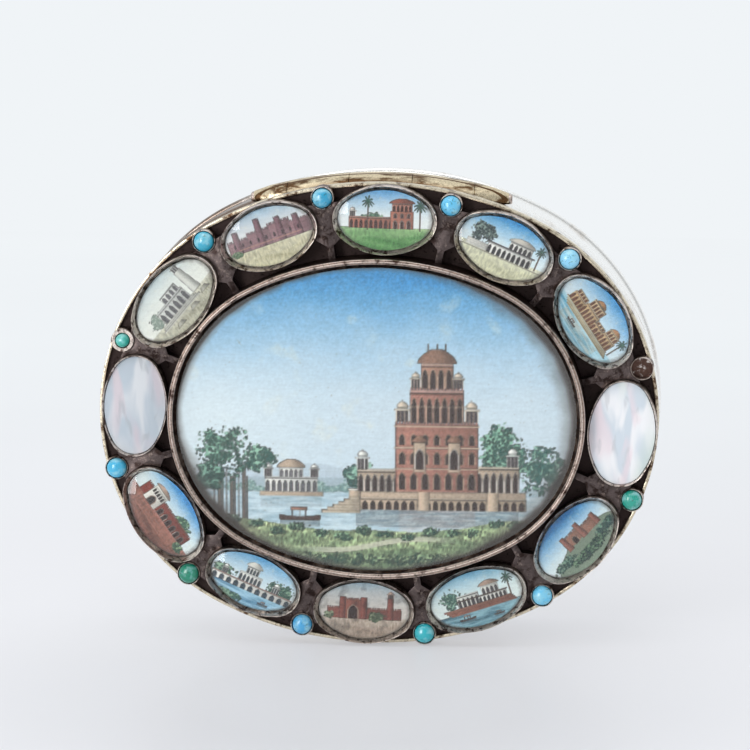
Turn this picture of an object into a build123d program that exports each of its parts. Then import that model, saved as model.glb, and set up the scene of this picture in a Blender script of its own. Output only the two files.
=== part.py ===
from build123d import *
import math
import os

# An oval silver paan box that stands on its long edge. The lid faces -Y, the base faces +Y, the
# long axis runs along X and the hinge is at the top. The origin is at floor level, under the middle.
# Its lid is a gallery of stone-set collets round one large glazed miniature.

os.makedirs("parts", exist_ok=True)

# ---- Driving dimensions, in millimetres and degrees ------------------------------------------------

box_length = 84.8  # the oval's long axis
box_width = 70.6  # the oval's short axis, upright as the box stands
oval_end_radius = 33.0  # the oval is struck from four centres: two end arcs and two side arcs

base_back_y = 12.4  # the outside of the base
base_thickness = 1.0
body_depth = 12.8  # from the base to the joint between body and lid
lid_depth = 6.0  # from that joint to the front of the lid plate
lid_plate_thickness = 1.0

wall_inset = 0.4  # the plain wall lies this far inside the rims
wall_thickness = 1.2
lip_height = 1.2  # bead round both edges of the joint
lip_chamfer = 0.3
base_moulding_height = 1.4
base_moulding_rounding = 0.35

bearer_thickness = 0.8  # gilt flange inside the mouth, which the lid closes over
bearer_clearance = 0.3
bearer_rise = 1.5
bearer_depth = 7.0
bearer_hinge_room = 1.1

rim_width = 0.5  # raised border round the lid plate
rim_rise = 0.8
rim_chamfer = 0.15

centre_inset = 10.9  # the centre setting's outline, measured in from the lid's edge
centre_height = 5.4
centre_wall = 1.3
centre_floor = 3.0
centre_card_thickness = 1.0
centre_ivory_thickness = 0.5
centre_glass_edge = 0.5
centre_glass_crown = 0.9
centre_splay_width = 0.5  # the inside of the collet opens out towards the front
centre_splay_depth = 0.8
centre_wire_width = 0.8
centre_wire_height = 0.6
centre_wire_rounding = 0.25

ring_inset = 5.35  # the path that the small settings are centred on
setting_height = 3.8
setting_wall = 0.8
setting_end_share = 0.506  # radius of a setting's end arcs, as a share of its half length
setting_floor = 1.6
setting_ivory_thickness = 0.5
setting_glass_edge = 0.45
setting_glass_crown = 0.75
setting_splay_width = 0.5
setting_splay_depth = 1.1

pearl_wall = 0.4
pearl_edge = 1.4
pearl_crown = 0.4
pearl_stations = (3, 9)  # the settings at the right and left ends hold mother-of-pearl

# The maker bent each collet up round its own miniature and set it by eye. For each, clockwise from
# the top: how far it has slipped from its even share of the ring, how far outward it sits, and half
# its length and width.
settings = (
    (1.2, 0.0, 7.95, 5.35),
    (1.9, -0.1, 7.9, 5.2),
    (1.8, -0.1, 7.85, 5.3),
    (1.95, 0.0, 8.2, 5.35),
    (2.3, 0.1, 7.8, 5.1),
    (2.4, 0.2, 7.95, 5.0),
    (1.95, -0.05, 7.75, 5.1),
    (1.8, -0.4, 7.65, 4.75),
    (1.4, 0.05, 8.1, 5.15),
    (1.3, -0.3, 7.85, 5.05),
    (1.2, -0.25, 8.1, 5.2),
    (1.2, 0.2, 7.65, 5.15),
)

# The turquoise cups stand halfway between the settings, each this far in from the lid's edge.
cup_insets = (1.9, 1.85, 1.55, 1.45, 1.65, 1.5, 1.8, 1.7, 1.6, 1.75, 1.75, 1.5)
cup_radius = 1.8
cup_height = 2.8
cup_wall = 0.25
cup_floor = 1.2
stone_girdle = 2.6
stone_crown = 1.1
small_stone_radius = 1.1
small_stones = (9,)  # this cup is thick and its stone small
empty_cup = 2  # this cup has lost its stone

web_height = 2.4
strut_width = 1.0
web_crotch = 2.0  # the strut starts to widen into a web this far out from the centre setting
web_foot = 3.4  # and by here it spans the gap between two settings
web_foot_width = 4.6
web_end_width = 7.4
web_end_inset = 2.4  # its outer edge, measured in from the lid's edge, lies under the cup
solder_gap = 0.02

hinge_half_length = 19.4
hinge_end_radius = 1.1
hinge_crown = 2.9  # how much fatter the barrel is in the middle, to follow the oval
hinge_above_rim = 0.85  # height of the barrel's crown over the lid's edge
hinge_taper = 2.4  # the barrel's ends are filed down over this length
hinge_tip_radius = 0.9
hinge_joints = (-14.2, -4.8, 4.8, 14.2)
hinge_joint_gap = 0.12
hinge_swing_gap = 0.25
hinge_relief = 0.95  # the lid's wall is filed back this far round the barrel's middle, to swing open
hinge_relief_half_length = 8.5
hinge_inner_cut = 1.6  # the barrel is filed flat inside the box, this far under the pin
pin_radius = 0.6
pin_running_gap = 0.05
pin_head_radius = 0.8
pin_head_length = 0.5
pin_head_taper = 20

# ---- Worked out from them ---------------------------------------------------------------------------

middle_z = box_width / 2
joint_y = base_back_y - body_depth
plate_back_y = joint_y - lid_depth + lid_plate_thickness
plate_front_y = joint_y - lid_depth
wall_inside = wall_inset + wall_thickness

end_centre = box_length / 2 - oval_end_radius
side_radius = (middle_z**2 + end_centre**2 - oval_end_radius**2) / (2 * (middle_z - oval_end_radius))
side_centre = side_radius - middle_z
end_half_angle = math.degrees(math.atan2(side_centre, end_centre))

pin_z = 2 * middle_z + hinge_above_rim - hinge_end_radius - hinge_crown
hinge_axis = Axis((0, joint_y, pin_z), (1, 0, 0))


def layer(y):
    """Plane across the box at this depth, facing the front: its x is the box's X and its y is up."""
    return Plane(origin=(0, y, middle_z), x_dir=(1, 0, 0), z_dir=(0, -1, 0))


def four_centred_oval(half_length, half_width, end_radius, mode=Mode.ADD):
    """Adds an oval struck from two end centres and two side centres to the open sketch."""
    end_x = half_length - end_radius
    long_radius = (half_width**2 + end_x**2 - end_radius**2) / (2 * (half_width - end_radius))
    side_y = long_radius - half_width
    half_angle = math.degrees(math.atan2(side_y, end_x))
    with BuildLine() as outline:
        CenterArc((end_x, 0), end_radius, -half_angle, 2 * half_angle)
        CenterArc((0, -side_y), long_radius, half_angle, 180 - 2 * half_angle)
        CenterArc((-end_x, 0), end_radius, 180 - half_angle, 2 * half_angle)
        CenterArc((0, side_y), long_radius, 180 + half_angle, 180 - 2 * half_angle)
    make_face(outline.edges(), mode=mode)


def box_oval(inset, mode=Mode.ADD):
    """Adds the box's own oval, drawn in by the inset, to the open sketch."""
    four_centred_oval(box_length / 2 - inset, middle_z - inset, oval_end_radius - inset, mode)


def oval_band(back_y, front_y, outer_inset, inner_inset):
    """Adds a band of the box's oval between two depths to the open part."""
    with BuildSketch(layer(back_y)) as band:
        box_oval(outer_inset)
        box_oval(inner_inset, Mode.SUBTRACT)
    extrude(band.sketch, amount=back_y - front_y)


def oval_edges(y, inset):
    """Edges of the open part that lie on the box's oval at this depth and inset."""
    radii = (oval_end_radius - inset, side_radius - inset)
    level = edges().filter_by(GeomType.CIRCLE).filter_by_position(Axis.Y, y - 0.01, y + 0.01)
    return [edge for edge in level if min(abs(edge.radius - radius) for radius in radii) < 0.01]


def domed_oval(plane, size, edge_height, crown):
    """Adds an oval disc with a spherical dome to the open part, lying on the plane."""
    dome_radius = (size[0] ** 2 + crown**2) / (2 * crown)
    with BuildSketch(plane) as outline:
        four_centred_oval(*size)
    extrude(outline.sketch, amount=edge_height + crown)
    with Locations(plane.offset(edge_height + crown - dome_radius)):
        Sphere(dome_radius, mode=Mode.INTERSECT)


def finish(piece, name):
    """Labels a finished piece and writes it as its own STEP file."""
    piece.part.label = name
    export_step(piece.part, f"parts/{name}.step")


# ---- Ring of settings: places along the path --------------------------------------------------------

with BuildLine() as ring_line:
    top_right = JernArc((0, middle_z - ring_inset), (1, 0), side_radius - ring_inset, end_half_angle - 90)
    right_end = JernArc(top_right @ 1, top_right % 1, oval_end_radius - ring_inset, -2 * end_half_angle)
    bottom = JernArc(right_end @ 1, right_end % 1, side_radius - ring_inset, 2 * end_half_angle - 180)
    left_end = JernArc(bottom @ 1, bottom % 1, oval_end_radius - ring_inset, -2 * end_half_angle)
    top_left = JernArc(left_end @ 1, left_end % 1, side_radius - ring_inset, end_half_angle - 90)

ring_arcs = (top_right, right_end, bottom, left_end, top_left)
ring_length = sum(arc.length for arc in ring_arcs)
setting_count = len(settings)
setting_distances = [
    ring_length * number / setting_count + slip for number, (slip, *_) in enumerate(settings)
]


def seat(distance, outward=0.0):
    """Plane on the lid plate at this distance clockwise along the ring, its y pointing outward."""
    distance = distance % ring_length
    for arc in ring_arcs:
        if distance <= arc.length:
            break
        distance -= arc.length
    place = arc @ (distance / arc.length)
    heading = arc % (distance / arc.length)
    ring_plane = Plane(
        origin=(place.X, plate_front_y, middle_z + place.Y),
        x_dir=(heading.X, 0, heading.Y),
        z_dir=(0, -1, 0),
    )
    return Plane(
        origin=ring_plane.origin + ring_plane.y_dir * outward,
        x_dir=ring_plane.x_dir,
        z_dir=ring_plane.z_dir,
    )


setting_seats = [
    seat(distance, outward) for distance, (_, outward, *_) in zip(setting_distances, settings)
]

next_distances = setting_distances[1:] + [setting_distances[0] + ring_length]
strut_distances = [(here + after) / 2 for here, after in zip(setting_distances, next_distances)]
strut_seats = [seat(distance) for distance in strut_distances]
cup_seats = [seat(distance, ring_inset - inset) for distance, inset in zip(strut_distances, cup_insets)]


def setting_size(number):
    """Half length, half width and end radius of the collet at this station."""
    _, _, half_length, half_width = settings[number]
    return half_length, half_width, setting_end_share * half_length


def clear_settings(amount):
    """Cuts the footprints of the ring's collets and cups, with a solder gap, from the open part."""
    for number, plane in enumerate(setting_seats):
        half_length, half_width, end_radius = (size + solder_gap for size in setting_size(number))
        with BuildSketch(plane) as footprint:
            four_centred_oval(half_length, half_width, end_radius)
        extrude(footprint.sketch, amount=amount, mode=Mode.SUBTRACT)
    for plane in cup_seats:
        with BuildSketch(plane) as footprint:
            Circle(cup_radius + solder_gap)
        extrude(footprint.sketch, amount=amount, mode=Mode.SUBTRACT)


# ---- Hinge barrel: a solid of revolution about the pin, whose crown follows the oval ---------------


def knuckles(spans, growth=0.0, bore=0.0):
    """Adds barrel-shaped knuckles over these spans of X, fatter by the growth, to the open part."""
    crown_radius = (hinge_half_length**2 + hinge_crown**2) / (2 * hinge_crown)
    crown_centre = hinge_end_radius + hinge_crown - crown_radius
    taper_start = hinge_half_length - hinge_taper

    def crown(x):
        return crown_centre + math.sqrt((crown_radius + growth) ** 2 - x**2)

    pin_plane = Plane(origin=(0, joint_y, pin_z), x_dir=(1, 0, 0), z_dir=(0, -1, 0))
    with BuildSketch(pin_plane) as profile:
        for start, stop in spans:
            left, right = max(start, -taper_start), min(stop, taper_start)
            middle = (left + right) / 2
            with BuildLine():
                if left > start:
                    Line((start, bore), (start, hinge_tip_radius + growth))
                    Line((start, hinge_tip_radius + growth), (left, crown(left)))
                else:
                    Line((start, bore), (start, crown(start)))
                ThreePointArc((left, crown(left)), (middle, crown(middle)), (right, crown(right)))
                if right < stop:
                    Line((right, crown(right)), (stop, hinge_tip_radius + growth))
                    Line((stop, hinge_tip_radius + growth), (stop, bore))
                else:
                    Line((stop, crown(stop)), (stop, bore))
                Line((stop, bore), (start, bore))
            make_face()
    revolve(profile.sketch, axis=hinge_axis)


joint_ends = (-hinge_half_length, *hinge_joints, hinge_half_length)
all_spans = list(zip(joint_ends, joint_ends[1:]))
half_gap = hinge_joint_gap / 2
body_spans = all_spans[0::2]
lid_spans = all_spans[1::2]


def narrowed(spans):
    """The same spans with half a joint gap taken off each end."""
    return [(start + half_gap, stop - half_gap) for start, stop in spans]


def widened(spans):
    """The same spans with half a joint gap added to each end."""
    return [(start - half_gap, stop + half_gap) for start, stop in spans]


def file_flat_inside():
    """Cuts the open part off flat where the barrel would bulge into the box."""
    split(bisect_by=Plane(origin=(0, 0, pin_z - hinge_inner_cut), z_dir=(0, 0, 1)), keep=Keep.TOP)


with BuildPart() as pin_room:  # a bore the length of the pin, wide enough for its heads
    with BuildSketch(Plane(origin=(-hinge_half_length - pin_head_length, joint_y, pin_z), z_dir=(1, 0, 0))):
        Circle(hinge_tip_radius)
    extrude(amount=2 * (hinge_half_length + pin_head_length))

with BuildPart() as whole_barrel:
    knuckles([(-hinge_half_length, hinge_half_length)])
    add(pin_room.part)

with BuildPart() as body_swing:  # the room that the body leaves for the lid's knuckles
    knuckles(widened(lid_spans), growth=hinge_swing_gap)

with BuildPart() as lid_swing:  # the room that the lid leaves for the body's knuckles
    knuckles(widened(body_spans), growth=hinge_swing_gap)
    add(pin_room.part)

with BuildPart() as lid_relief:
    knuckles([(-hinge_relief_half_length, hinge_relief_half_length)], growth=hinge_relief)

# ---- Body -------------------------------------------------------------------------------------------

with BuildPart() as body_wall:
    oval_band(base_back_y - base_moulding_height, joint_y, wall_inset, wall_inside)
    oval_band(joint_y + lip_height, joint_y, 0, wall_inside)
    chamfer(oval_edges(joint_y, 0) + oval_edges(joint_y + lip_height, 0), lip_chamfer)
    add(whole_barrel.part, mode=Mode.SUBTRACT)
    add(body_swing.part, mode=Mode.SUBTRACT)
finish(body_wall, "body_wall")

with BuildPart() as base_moulding:
    moulding_front_y = base_back_y - base_moulding_height
    oval_band(base_back_y, moulding_front_y, 0, wall_inside)
    fillet(oval_edges(base_back_y, 0) + oval_edges(moulding_front_y, 0), base_moulding_rounding)
finish(base_moulding, "base_moulding")

with BuildPart() as base_plate:
    with BuildSketch(layer(base_back_y)):
        box_oval(wall_inside)
    extrude(amount=base_thickness)
finish(base_plate, "base_plate")

with BuildPart() as mouth_bearer:
    oval_band(joint_y + bearer_depth, joint_y, wall_inside, wall_inside + bearer_thickness)
    oval_band(joint_y, joint_y - bearer_rise, wall_inside + bearer_clearance, wall_inside + bearer_thickness)
    with BuildSketch(layer(joint_y + bearer_depth)):  # it stops short of the hinge on both sides
        with Locations((0, middle_z)):
            Rectangle(2 * hinge_half_length + 2 * bearer_hinge_room, box_width / 2)
    extrude(amount=bearer_depth + bearer_rise, mode=Mode.SUBTRACT)
finish(mouth_bearer, "mouth_bearer")

# ---- Hinge ------------------------------------------------------------------------------------------

with BuildPart() as body_knuckles:
    knuckles(narrowed(body_spans), bore=pin_radius)
    file_flat_inside()
finish(body_knuckles, "body_knuckles")

with BuildPart() as lid_knuckles:
    knuckles(narrowed(lid_spans), bore=pin_radius + pin_running_gap)
    file_flat_inside()
finish(lid_knuckles, "lid_knuckles")

with BuildPart() as hinge_pin:
    with BuildSketch(Plane(origin=(-hinge_half_length, joint_y, pin_z), z_dir=(1, 0, 0))):
        Circle(pin_radius)
    extrude(amount=2 * hinge_half_length)
    for end, way in ((-hinge_half_length, -1), (hinge_half_length, 1)):
        with BuildSketch(Plane(origin=(end - way * half_gap, joint_y, pin_z), z_dir=(way, 0, 0))):
            Circle(pin_head_radius)
        extrude(amount=pin_head_length, taper=pin_head_taper)
finish(hinge_pin, "hinge_pin")

# ---- Lid shell --------------------------------------------------------------------------------------

with BuildPart() as lid_plate:
    with BuildSketch(layer(plate_back_y)):
        box_oval(rim_width)
    extrude(amount=lid_plate_thickness)
finish(lid_plate, "lid_plate")

with BuildPart() as lid_band:
    oval_band(joint_y, plate_back_y, wall_inset, wall_inside)
    oval_band(joint_y, joint_y - lip_height, 0, wall_inside)
    chamfer(oval_edges(joint_y, 0) + oval_edges(joint_y - lip_height, 0), lip_chamfer)
    add(whole_barrel.part, mode=Mode.SUBTRACT)
    add(lid_swing.part, mode=Mode.SUBTRACT)
    add(lid_relief.part, mode=Mode.SUBTRACT)
finish(lid_band, "lid_band")

with BuildPart() as lid_rim:
    oval_band(plate_back_y, plate_front_y - rim_rise, 0, rim_width)
    crest_y = plate_front_y - rim_rise
    chamfer(oval_edges(crest_y, 0) + oval_edges(crest_y, rim_width), rim_chamfer)
    clear_settings(rim_rise)
finish(lid_rim, "lid_rim")

# ---- Centre setting ---------------------------------------------------------------------------------

centre_seat = layer(plate_front_y)
centre_inside = centre_inset + centre_wall

with BuildPart() as centre_collet:
    with BuildSketch(centre_seat):
        box_oval(centre_inset)
    extrude(amount=centre_height)
    with BuildSketch(centre_seat.offset(centre_floor)):
        box_oval(centre_inside)
    extrude(amount=centre_height - centre_floor, mode=Mode.SUBTRACT)
    with BuildSketch(centre_seat.offset(centre_height - centre_splay_depth)):
        box_oval(centre_inside)
    with BuildSketch(centre_seat.offset(centre_height)):
        box_oval(centre_inside - centre_splay_width)
    loft(ruled=True, mode=Mode.SUBTRACT)
finish(centre_collet, "centre_collet")

with BuildPart() as centre_wire:
    wire_back_y = plate_front_y - centre_height
    wire_front_y = wire_back_y - centre_wire_height
    oval_band(wire_back_y, wire_front_y, centre_inset, centre_inset + centre_wire_width)
    wire_edges = oval_edges(wire_front_y, centre_inset)
    wire_edges += oval_edges(wire_front_y, centre_inset + centre_wire_width)
    fillet(wire_edges, centre_wire_rounding)
finish(centre_wire, "centre_wire")

with BuildPart() as centre_card:
    with BuildSketch(centre_seat.offset(centre_floor)):
        box_oval(centre_inside)
    extrude(amount=centre_card_thickness)
finish(centre_card, "centre_card")

centre_ivory_back = centre_floor + centre_card_thickness
with BuildPart() as centre_ivory:
    with BuildSketch(centre_seat.offset(centre_ivory_back)):
        box_oval(centre_inside)
    extrude(amount=centre_ivory_thickness)
finish(centre_ivory, "centre_ivory")

centre_oval = tuple(
    size - centre_inside for size in (box_length / 2, middle_z, oval_end_radius)
)
with BuildPart() as centre_glass:
    domed_oval(
        centre_seat.offset(centre_ivory_back + centre_ivory_thickness),
        centre_oval,
        centre_glass_edge,
        centre_glass_crown,
    )
finish(centre_glass, "centre_glass")

# ---- Ring of small settings -------------------------------------------------------------------------

for number, plane in enumerate(setting_seats):
    station = f"{number + 1:02d}"
    holds_pearl = number in pearl_stations
    wall = pearl_wall if holds_pearl else setting_wall
    outline = setting_size(number)
    pocket = tuple(size - wall for size in outline)

    with BuildPart() as collet:
        with BuildSketch(plane):
            four_centred_oval(*outline)
        extrude(amount=setting_height)
        with BuildSketch(plane.offset(setting_floor)):
            four_centred_oval(*pocket)
        extrude(amount=setting_height - setting_floor, mode=Mode.SUBTRACT)
        if not holds_pearl:
            with BuildSketch(plane.offset(setting_height - setting_splay_depth)):
                four_centred_oval(*pocket)
            with BuildSketch(plane.offset(setting_height)):
                four_centred_oval(*(size + setting_splay_width for size in pocket))
            loft(ruled=True, mode=Mode.SUBTRACT)
    finish(collet, f"collet_{station}")

    if holds_pearl:
        with BuildPart() as pearl:
            domed_oval(plane.offset(setting_floor), pocket, pearl_edge, pearl_crown)
        finish(pearl, f"pearl_{station}")
        continue

    with BuildPart() as ivory:
        with BuildSketch(plane.offset(setting_floor)):
            four_centred_oval(*pocket)
        extrude(amount=setting_ivory_thickness)
    finish(ivory, f"ivory_{station}")

    with BuildPart() as glass:
        glass_plane = plane.offset(setting_floor + setting_ivory_thickness)
        domed_oval(glass_plane, pocket, setting_glass_edge, setting_glass_crown)
    finish(glass, f"glass_{station}")

# ---- Turquoise cups, their stones and the gallery between the settings --------------------------------


def stone_radius(number):
    """Radius of the stone, and of the cup's bore, at this station."""
    return small_stone_radius if number in small_stones else cup_radius - cup_wall


with BuildPart() as turquoise_cups:
    for number, plane in enumerate(cup_seats):
        with BuildSketch(plane):
            Circle(cup_radius)
        extrude(amount=cup_height)
        with BuildSketch(plane.offset(cup_floor)):
            Circle(stone_radius(number))
        extrude(amount=cup_height - cup_floor, mode=Mode.SUBTRACT)
finish(turquoise_cups, "turquoise_cups")

with BuildPart() as turquoise_stones:
    for number, plane in enumerate(cup_seats):
        if number == empty_cup:
            continue
        radius = stone_radius(number)
        dome_radius = (radius**2 + stone_crown**2) / (2 * stone_crown)
        dome_centre = stone_girdle + stone_crown - dome_radius
        dome_start = math.degrees(math.asin((stone_girdle - dome_centre) / dome_radius))
        with BuildSketch(Plane(origin=plane.origin, x_dir=plane.x_dir, z_dir=-plane.y_dir)):
            with BuildLine():
                Line((0, cup_floor), (radius, cup_floor))
                Line((radius, cup_floor), (radius, stone_girdle))
                CenterArc((0, dome_centre), dome_radius, dome_start, 90 - dome_start)
                Line((0, stone_girdle + stone_crown), (0, cup_floor))
            make_face()
        revolve(axis=Axis(plane.origin, plane.z_dir))
finish(turquoise_stones, "turquoise_stones")

with BuildPart() as gallery_webs:
    centre_edge = ring_inset - centre_inset
    half_web = (
        (strut_width / 2, centre_edge - 1),
        (strut_width / 2, centre_edge + web_crotch),
        (web_foot_width / 2, centre_edge + web_foot),
        (web_end_width / 2, ring_inset - web_end_inset),
    )
    for plane in strut_seats:
        with BuildSketch(plane):
            with BuildLine():
                Polyline(*half_web, *((-x, y) for x, y in reversed(half_web)), close=True)
            make_face()
        extrude(amount=web_height)
    with BuildSketch(centre_seat):
        box_oval(centre_inset - solder_gap)
    extrude(amount=web_height, mode=Mode.SUBTRACT)
    clear_settings(web_height)
finish(gallery_webs, "gallery_webs")
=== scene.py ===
"""An oval silver paan box whose lid is a gallery of stone-set collets round a large glazed miniature.

Lengths are in metres. The box stands on its long edge with the lid facing -Y and the hinge at the top.
"""

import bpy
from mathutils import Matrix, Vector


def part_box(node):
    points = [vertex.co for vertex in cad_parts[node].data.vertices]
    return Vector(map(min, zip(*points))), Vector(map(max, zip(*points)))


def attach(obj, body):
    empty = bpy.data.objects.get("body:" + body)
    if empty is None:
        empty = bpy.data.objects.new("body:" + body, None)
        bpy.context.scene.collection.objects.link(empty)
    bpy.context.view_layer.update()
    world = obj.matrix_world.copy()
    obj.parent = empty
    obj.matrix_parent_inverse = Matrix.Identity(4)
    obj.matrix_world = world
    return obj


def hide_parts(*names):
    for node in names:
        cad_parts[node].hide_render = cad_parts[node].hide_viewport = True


bl_info = {
    "name": "Oval Paan Box",
    "version": (1, 0, 0),
    "blender": (4, 5, 0),
    "location": "3D View > Sidebar > Paan Box",
    "description": "An oval silver box with a glazed miniature, small settings and turquoises on its lid",
    "category": "Add Mesh",
}

from math import atan2, cos, hypot, pi, radians, sin, sqrt

import bpy
import numpy as np
from bpy.props import FloatProperty, FloatVectorProperty, IntProperty
from mathutils import Matrix, Vector

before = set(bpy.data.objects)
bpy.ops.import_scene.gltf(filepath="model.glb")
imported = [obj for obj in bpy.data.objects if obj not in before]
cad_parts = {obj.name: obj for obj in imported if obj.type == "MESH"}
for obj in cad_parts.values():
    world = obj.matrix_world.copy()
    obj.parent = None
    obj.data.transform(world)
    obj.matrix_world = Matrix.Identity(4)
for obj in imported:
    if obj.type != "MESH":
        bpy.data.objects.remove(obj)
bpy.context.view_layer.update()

MM = 0.001
OVAL_STEPS = 34  # faces to a radian of an oval ring's arcs
WELD = 0.002 * MM  # vertices nearer than this are one
SMOOTH_ANGLE = 35  # degrees between faces that shade as one surface


def srgb(hex_colour):
    """The three channels, 0 to 1, of an sRGB hex colour."""
    return np.array([int(hex_colour[i : i + 2], 16) / 255 for i in (1, 3, 5)])


def to_linear(channels):
    """Linear channels from sRGB ones."""
    return np.where(channels <= 0.04045, channels / 12.92, ((channels + 0.055) / 1.055) ** 2.4)


def linear(hex_colour):
    """Linear RGBA from an sRGB hex colour."""
    return (*to_linear(srgb(hex_colour)), 1.0)


# ---- Sizes and colours -------------------------------------------------------------------------------

wall_low, wall_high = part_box("lid_rim")
base_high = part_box("base_plate")[1]
plate_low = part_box("lid_plate")[0]
joint_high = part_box("lid_band")[1]
knuckle_low, knuckle_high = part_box("body_knuckles")


def length(name, description, default):
    return FloatProperty(name=name, description=description, default=default, unit="LENGTH", precision=5)


def colour(name, description, hex_colour):
    return FloatVectorProperty(
        name=name, description=description, default=linear(hex_colour), size=4, subtype="COLOR", min=0, max=1
    )


class PaanBoxShell(bpy.types.PropertyGroup):
    """The oval, its walls, base and lid"""

    length: length("Length", "Long axis of the oval", wall_high[0] - wall_low[0])
    width: length("Width", "Short axis of the oval, upright as the box stands", wall_high[2] - wall_low[2])
    end_radius: length("End radius", "Radius of the oval's end arcs", 33 * MM)
    back: length("Back", "Depth of the base's outside", base_high[1])
    joint: length("Joint", "Depth of the joint between body and lid", joint_high[1])
    plate: length("Plate", "Depth of the front of the lid plate", plate_low[1])
    wall_inset: length("Wall inset", "How far the plain wall lies inside the rims", 0.4 * MM)
    wall: length("Wall", "Thickness of the side walls", 1.2 * MM)
    bead: length("Bead", "Height of the bead along each edge of the joint", 1.2 * MM)
    moulding: length("Moulding", "Height of the base moulding", 1.4 * MM)
    rim_width: length("Rim width", "Width of the raised border round the lid", 0.5 * MM)
    rim_rise: length("Rim rise", "Height of that border over the plate", 0.8 * MM)


class PaanBoxHinge(bpy.types.PropertyGroup):
    """The barrel hinge along the top"""

    half_length: length("Half length", "Half the length of the barrel", knuckle_high[0])
    end_radius: length("End radius", "Radius of the barrel where its ends start to taper", 1.1 * MM)
    crown: length("Crown", "How much fatter the barrel is in the middle", 2.9 * MM)
    taper: length("Taper", "How far in from its ends the barrel is filed down", 2.4 * MM)
    tip_radius: length("Tip radius", "Radius of the barrel at its tips", 0.9 * MM)
    inner_cut: length("Inner cut", "How far under the pin the barrel is filed flat", 1.6 * MM)
    relief: length("Relief", "How far the lid's wall is filed back round the barrel's middle", 0.95 * MM)
    gap: length("Gap", "Room in a wall at each end of a knuckle that swings through it", 0.12 * MM)
    pin_radius: length("Pin radius", "Radius of the pin's riveted heads", 0.8 * MM)


class PaanBoxSettings(bpy.types.PropertyGroup):
    """The collets, the cups and the paint"""

    centre_inset: length("Centre inset", "The centre collet's outline, in from the lid's edge", 10.9 * MM)
    centre_height: length("Centre height", "Height of the centre collet", 5.4 * MM)
    centre_wall: length("Centre wall", "Thickness of the centre collet", 1.3 * MM)
    ring_inset: length("Ring inset", "The path that the small settings are centred on", 5.35 * MM)
    height: length("Height", "Height of a small collet", 3.8 * MM)
    wall: length("Wall", "Thickness of a small collet's wall", 0.8 * MM)
    cup_radius: length("Cup radius", "Outside radius of a turquoise cup", 1.8 * MM)
    cup_wall: length("Cup wall", "Thickness of a cup's wall", 0.25 * MM)
    dabs: IntProperty(name="Dabs", description="Paint dabs across the centre miniature", default=390, min=40)
    dab: length("Dab", "Size of a paint dab on the small miniatures", 0.09 * MM)


class PaanBoxColours(bpy.types.PropertyGroup):
    """Colours of the metals, the pearl and the stage"""

    silver: colour("Silver", "Worn silver where it is rubbed bright", "#E2D5CB")
    wall: colour("Wall", "Polished silver of the side walls", "#FBF9F6")
    tarnish: colour("Tarnish", "Brown oxide in the recesses", "#5E4840")
    soot: colour("Soot", "Brown-black dirt at the bottom of the gallery", "#433836")
    web: colour("Web", "Brown-grey oxidised struts", "#645957")
    gilt: colour("Gilt", "Gilding on the hinge and inside", "#DCC79F")
    # Also the colour of the painted shade on the hinge's barrel.
    worn_and_shaded_gilt: colour("Worn gilt", "Gilding worn through to darker metal", "#6E5238")
    pearl: colour("Pearl", "Mother-of-pearl", "#D3DEE6")
    # Painted shade: the table's darker colour round the box, where the box shades it.
    floor: colour("Table, near", "The table top in front of the box", "#DADBDF")
    table: colour("Table", "The table top under the box", "#ECEDF1")
    backdrop: colour("Backdrop", "The background", "#F0F4F7")


GROUPS = (
    ("paan_shell", PaanBoxShell),
    ("paan_hinge", PaanBoxHinge),
    ("paan_settings", PaanBoxSettings),
    ("paan_colours", PaanBoxColours),
)


def values():
    """The four groups of values that the operators read."""
    scene = bpy.context.scene
    return scene.paan_shell, scene.paan_hinge, scene.paan_settings, scene.paan_colours


# ---- Drawing and spinning ----------------------------------------------------------------------------


def start_piece(name, place):
    """A new piece that is one vertex at this place, in edit mode."""
    bpy.ops.object.select_all(action="DESELECT")
    bpy.ops.mesh.primitive_plane_add(size=MM, location=place)
    piece = bpy.context.active_object
    piece.name = piece.data.name = name
    bpy.ops.object.mode_set(mode="EDIT")
    bpy.ops.mesh.select_all(action="SELECT")
    bpy.ops.mesh.merge(type="CENTER")
    return piece


def draw_through(places):
    """Draws edges from the open piece's only vertex through these places, and selects them all."""
    for here, there in zip(places, places[1:]):
        bpy.ops.mesh.extrude_vertices_move(TRANSFORM_OT_translate={"value": there - here})
    bpy.ops.mesh.select_all(action="SELECT")
    bpy.ops.mesh.remove_doubles(threshold=0.001 * MM)


def oval_of(length, width, end_radius, inset, middle=0.0):
    """Half length, half width, end radius and middle height of an oval struck from four centres."""
    return length / 2 - inset, width / 2 - inset, end_radius - inset, middle


def oval_turns(oval):
    """The four centres in the order that a section at the top turns about them, clockwise."""
    half_length, half_width, end_radius, middle = oval
    end_x = half_length - end_radius
    side_radius = (half_width**2 + end_x**2 - end_radius**2) / (2 * (half_width - end_radius))
    side_z = side_radius - half_width
    side_angle = pi / 2 - atan2(side_z, end_x)
    end_angle = pi - 2 * side_angle
    return (
        ((0, middle - side_z), side_radius, side_angle),
        ((end_x, middle), end_radius, end_angle),
        ((0, middle + side_z), side_radius, 2 * side_angle),
        ((-end_x, middle), end_radius, end_angle),
        ((0, middle - side_z), side_radius, side_angle),
    )


def sweep(name, oval, section, steps=OVAL_STEPS):
    """A ring of the oval: its section, points of (inset, depth), is drawn at the top and spun round."""
    top = oval[3] + oval[1]
    places = [Vector((0, depth, top - inset)) for inset, depth in section]
    piece = start_piece(name, places[0])
    draw_through(places)
    for (x, z), _, angle in oval_turns(oval):
        bpy.ops.mesh.spin(steps=max(3, round(steps * angle)), angle=-angle, center=(x, 0, z), axis=(0, 1, 0))
    return piece


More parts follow.
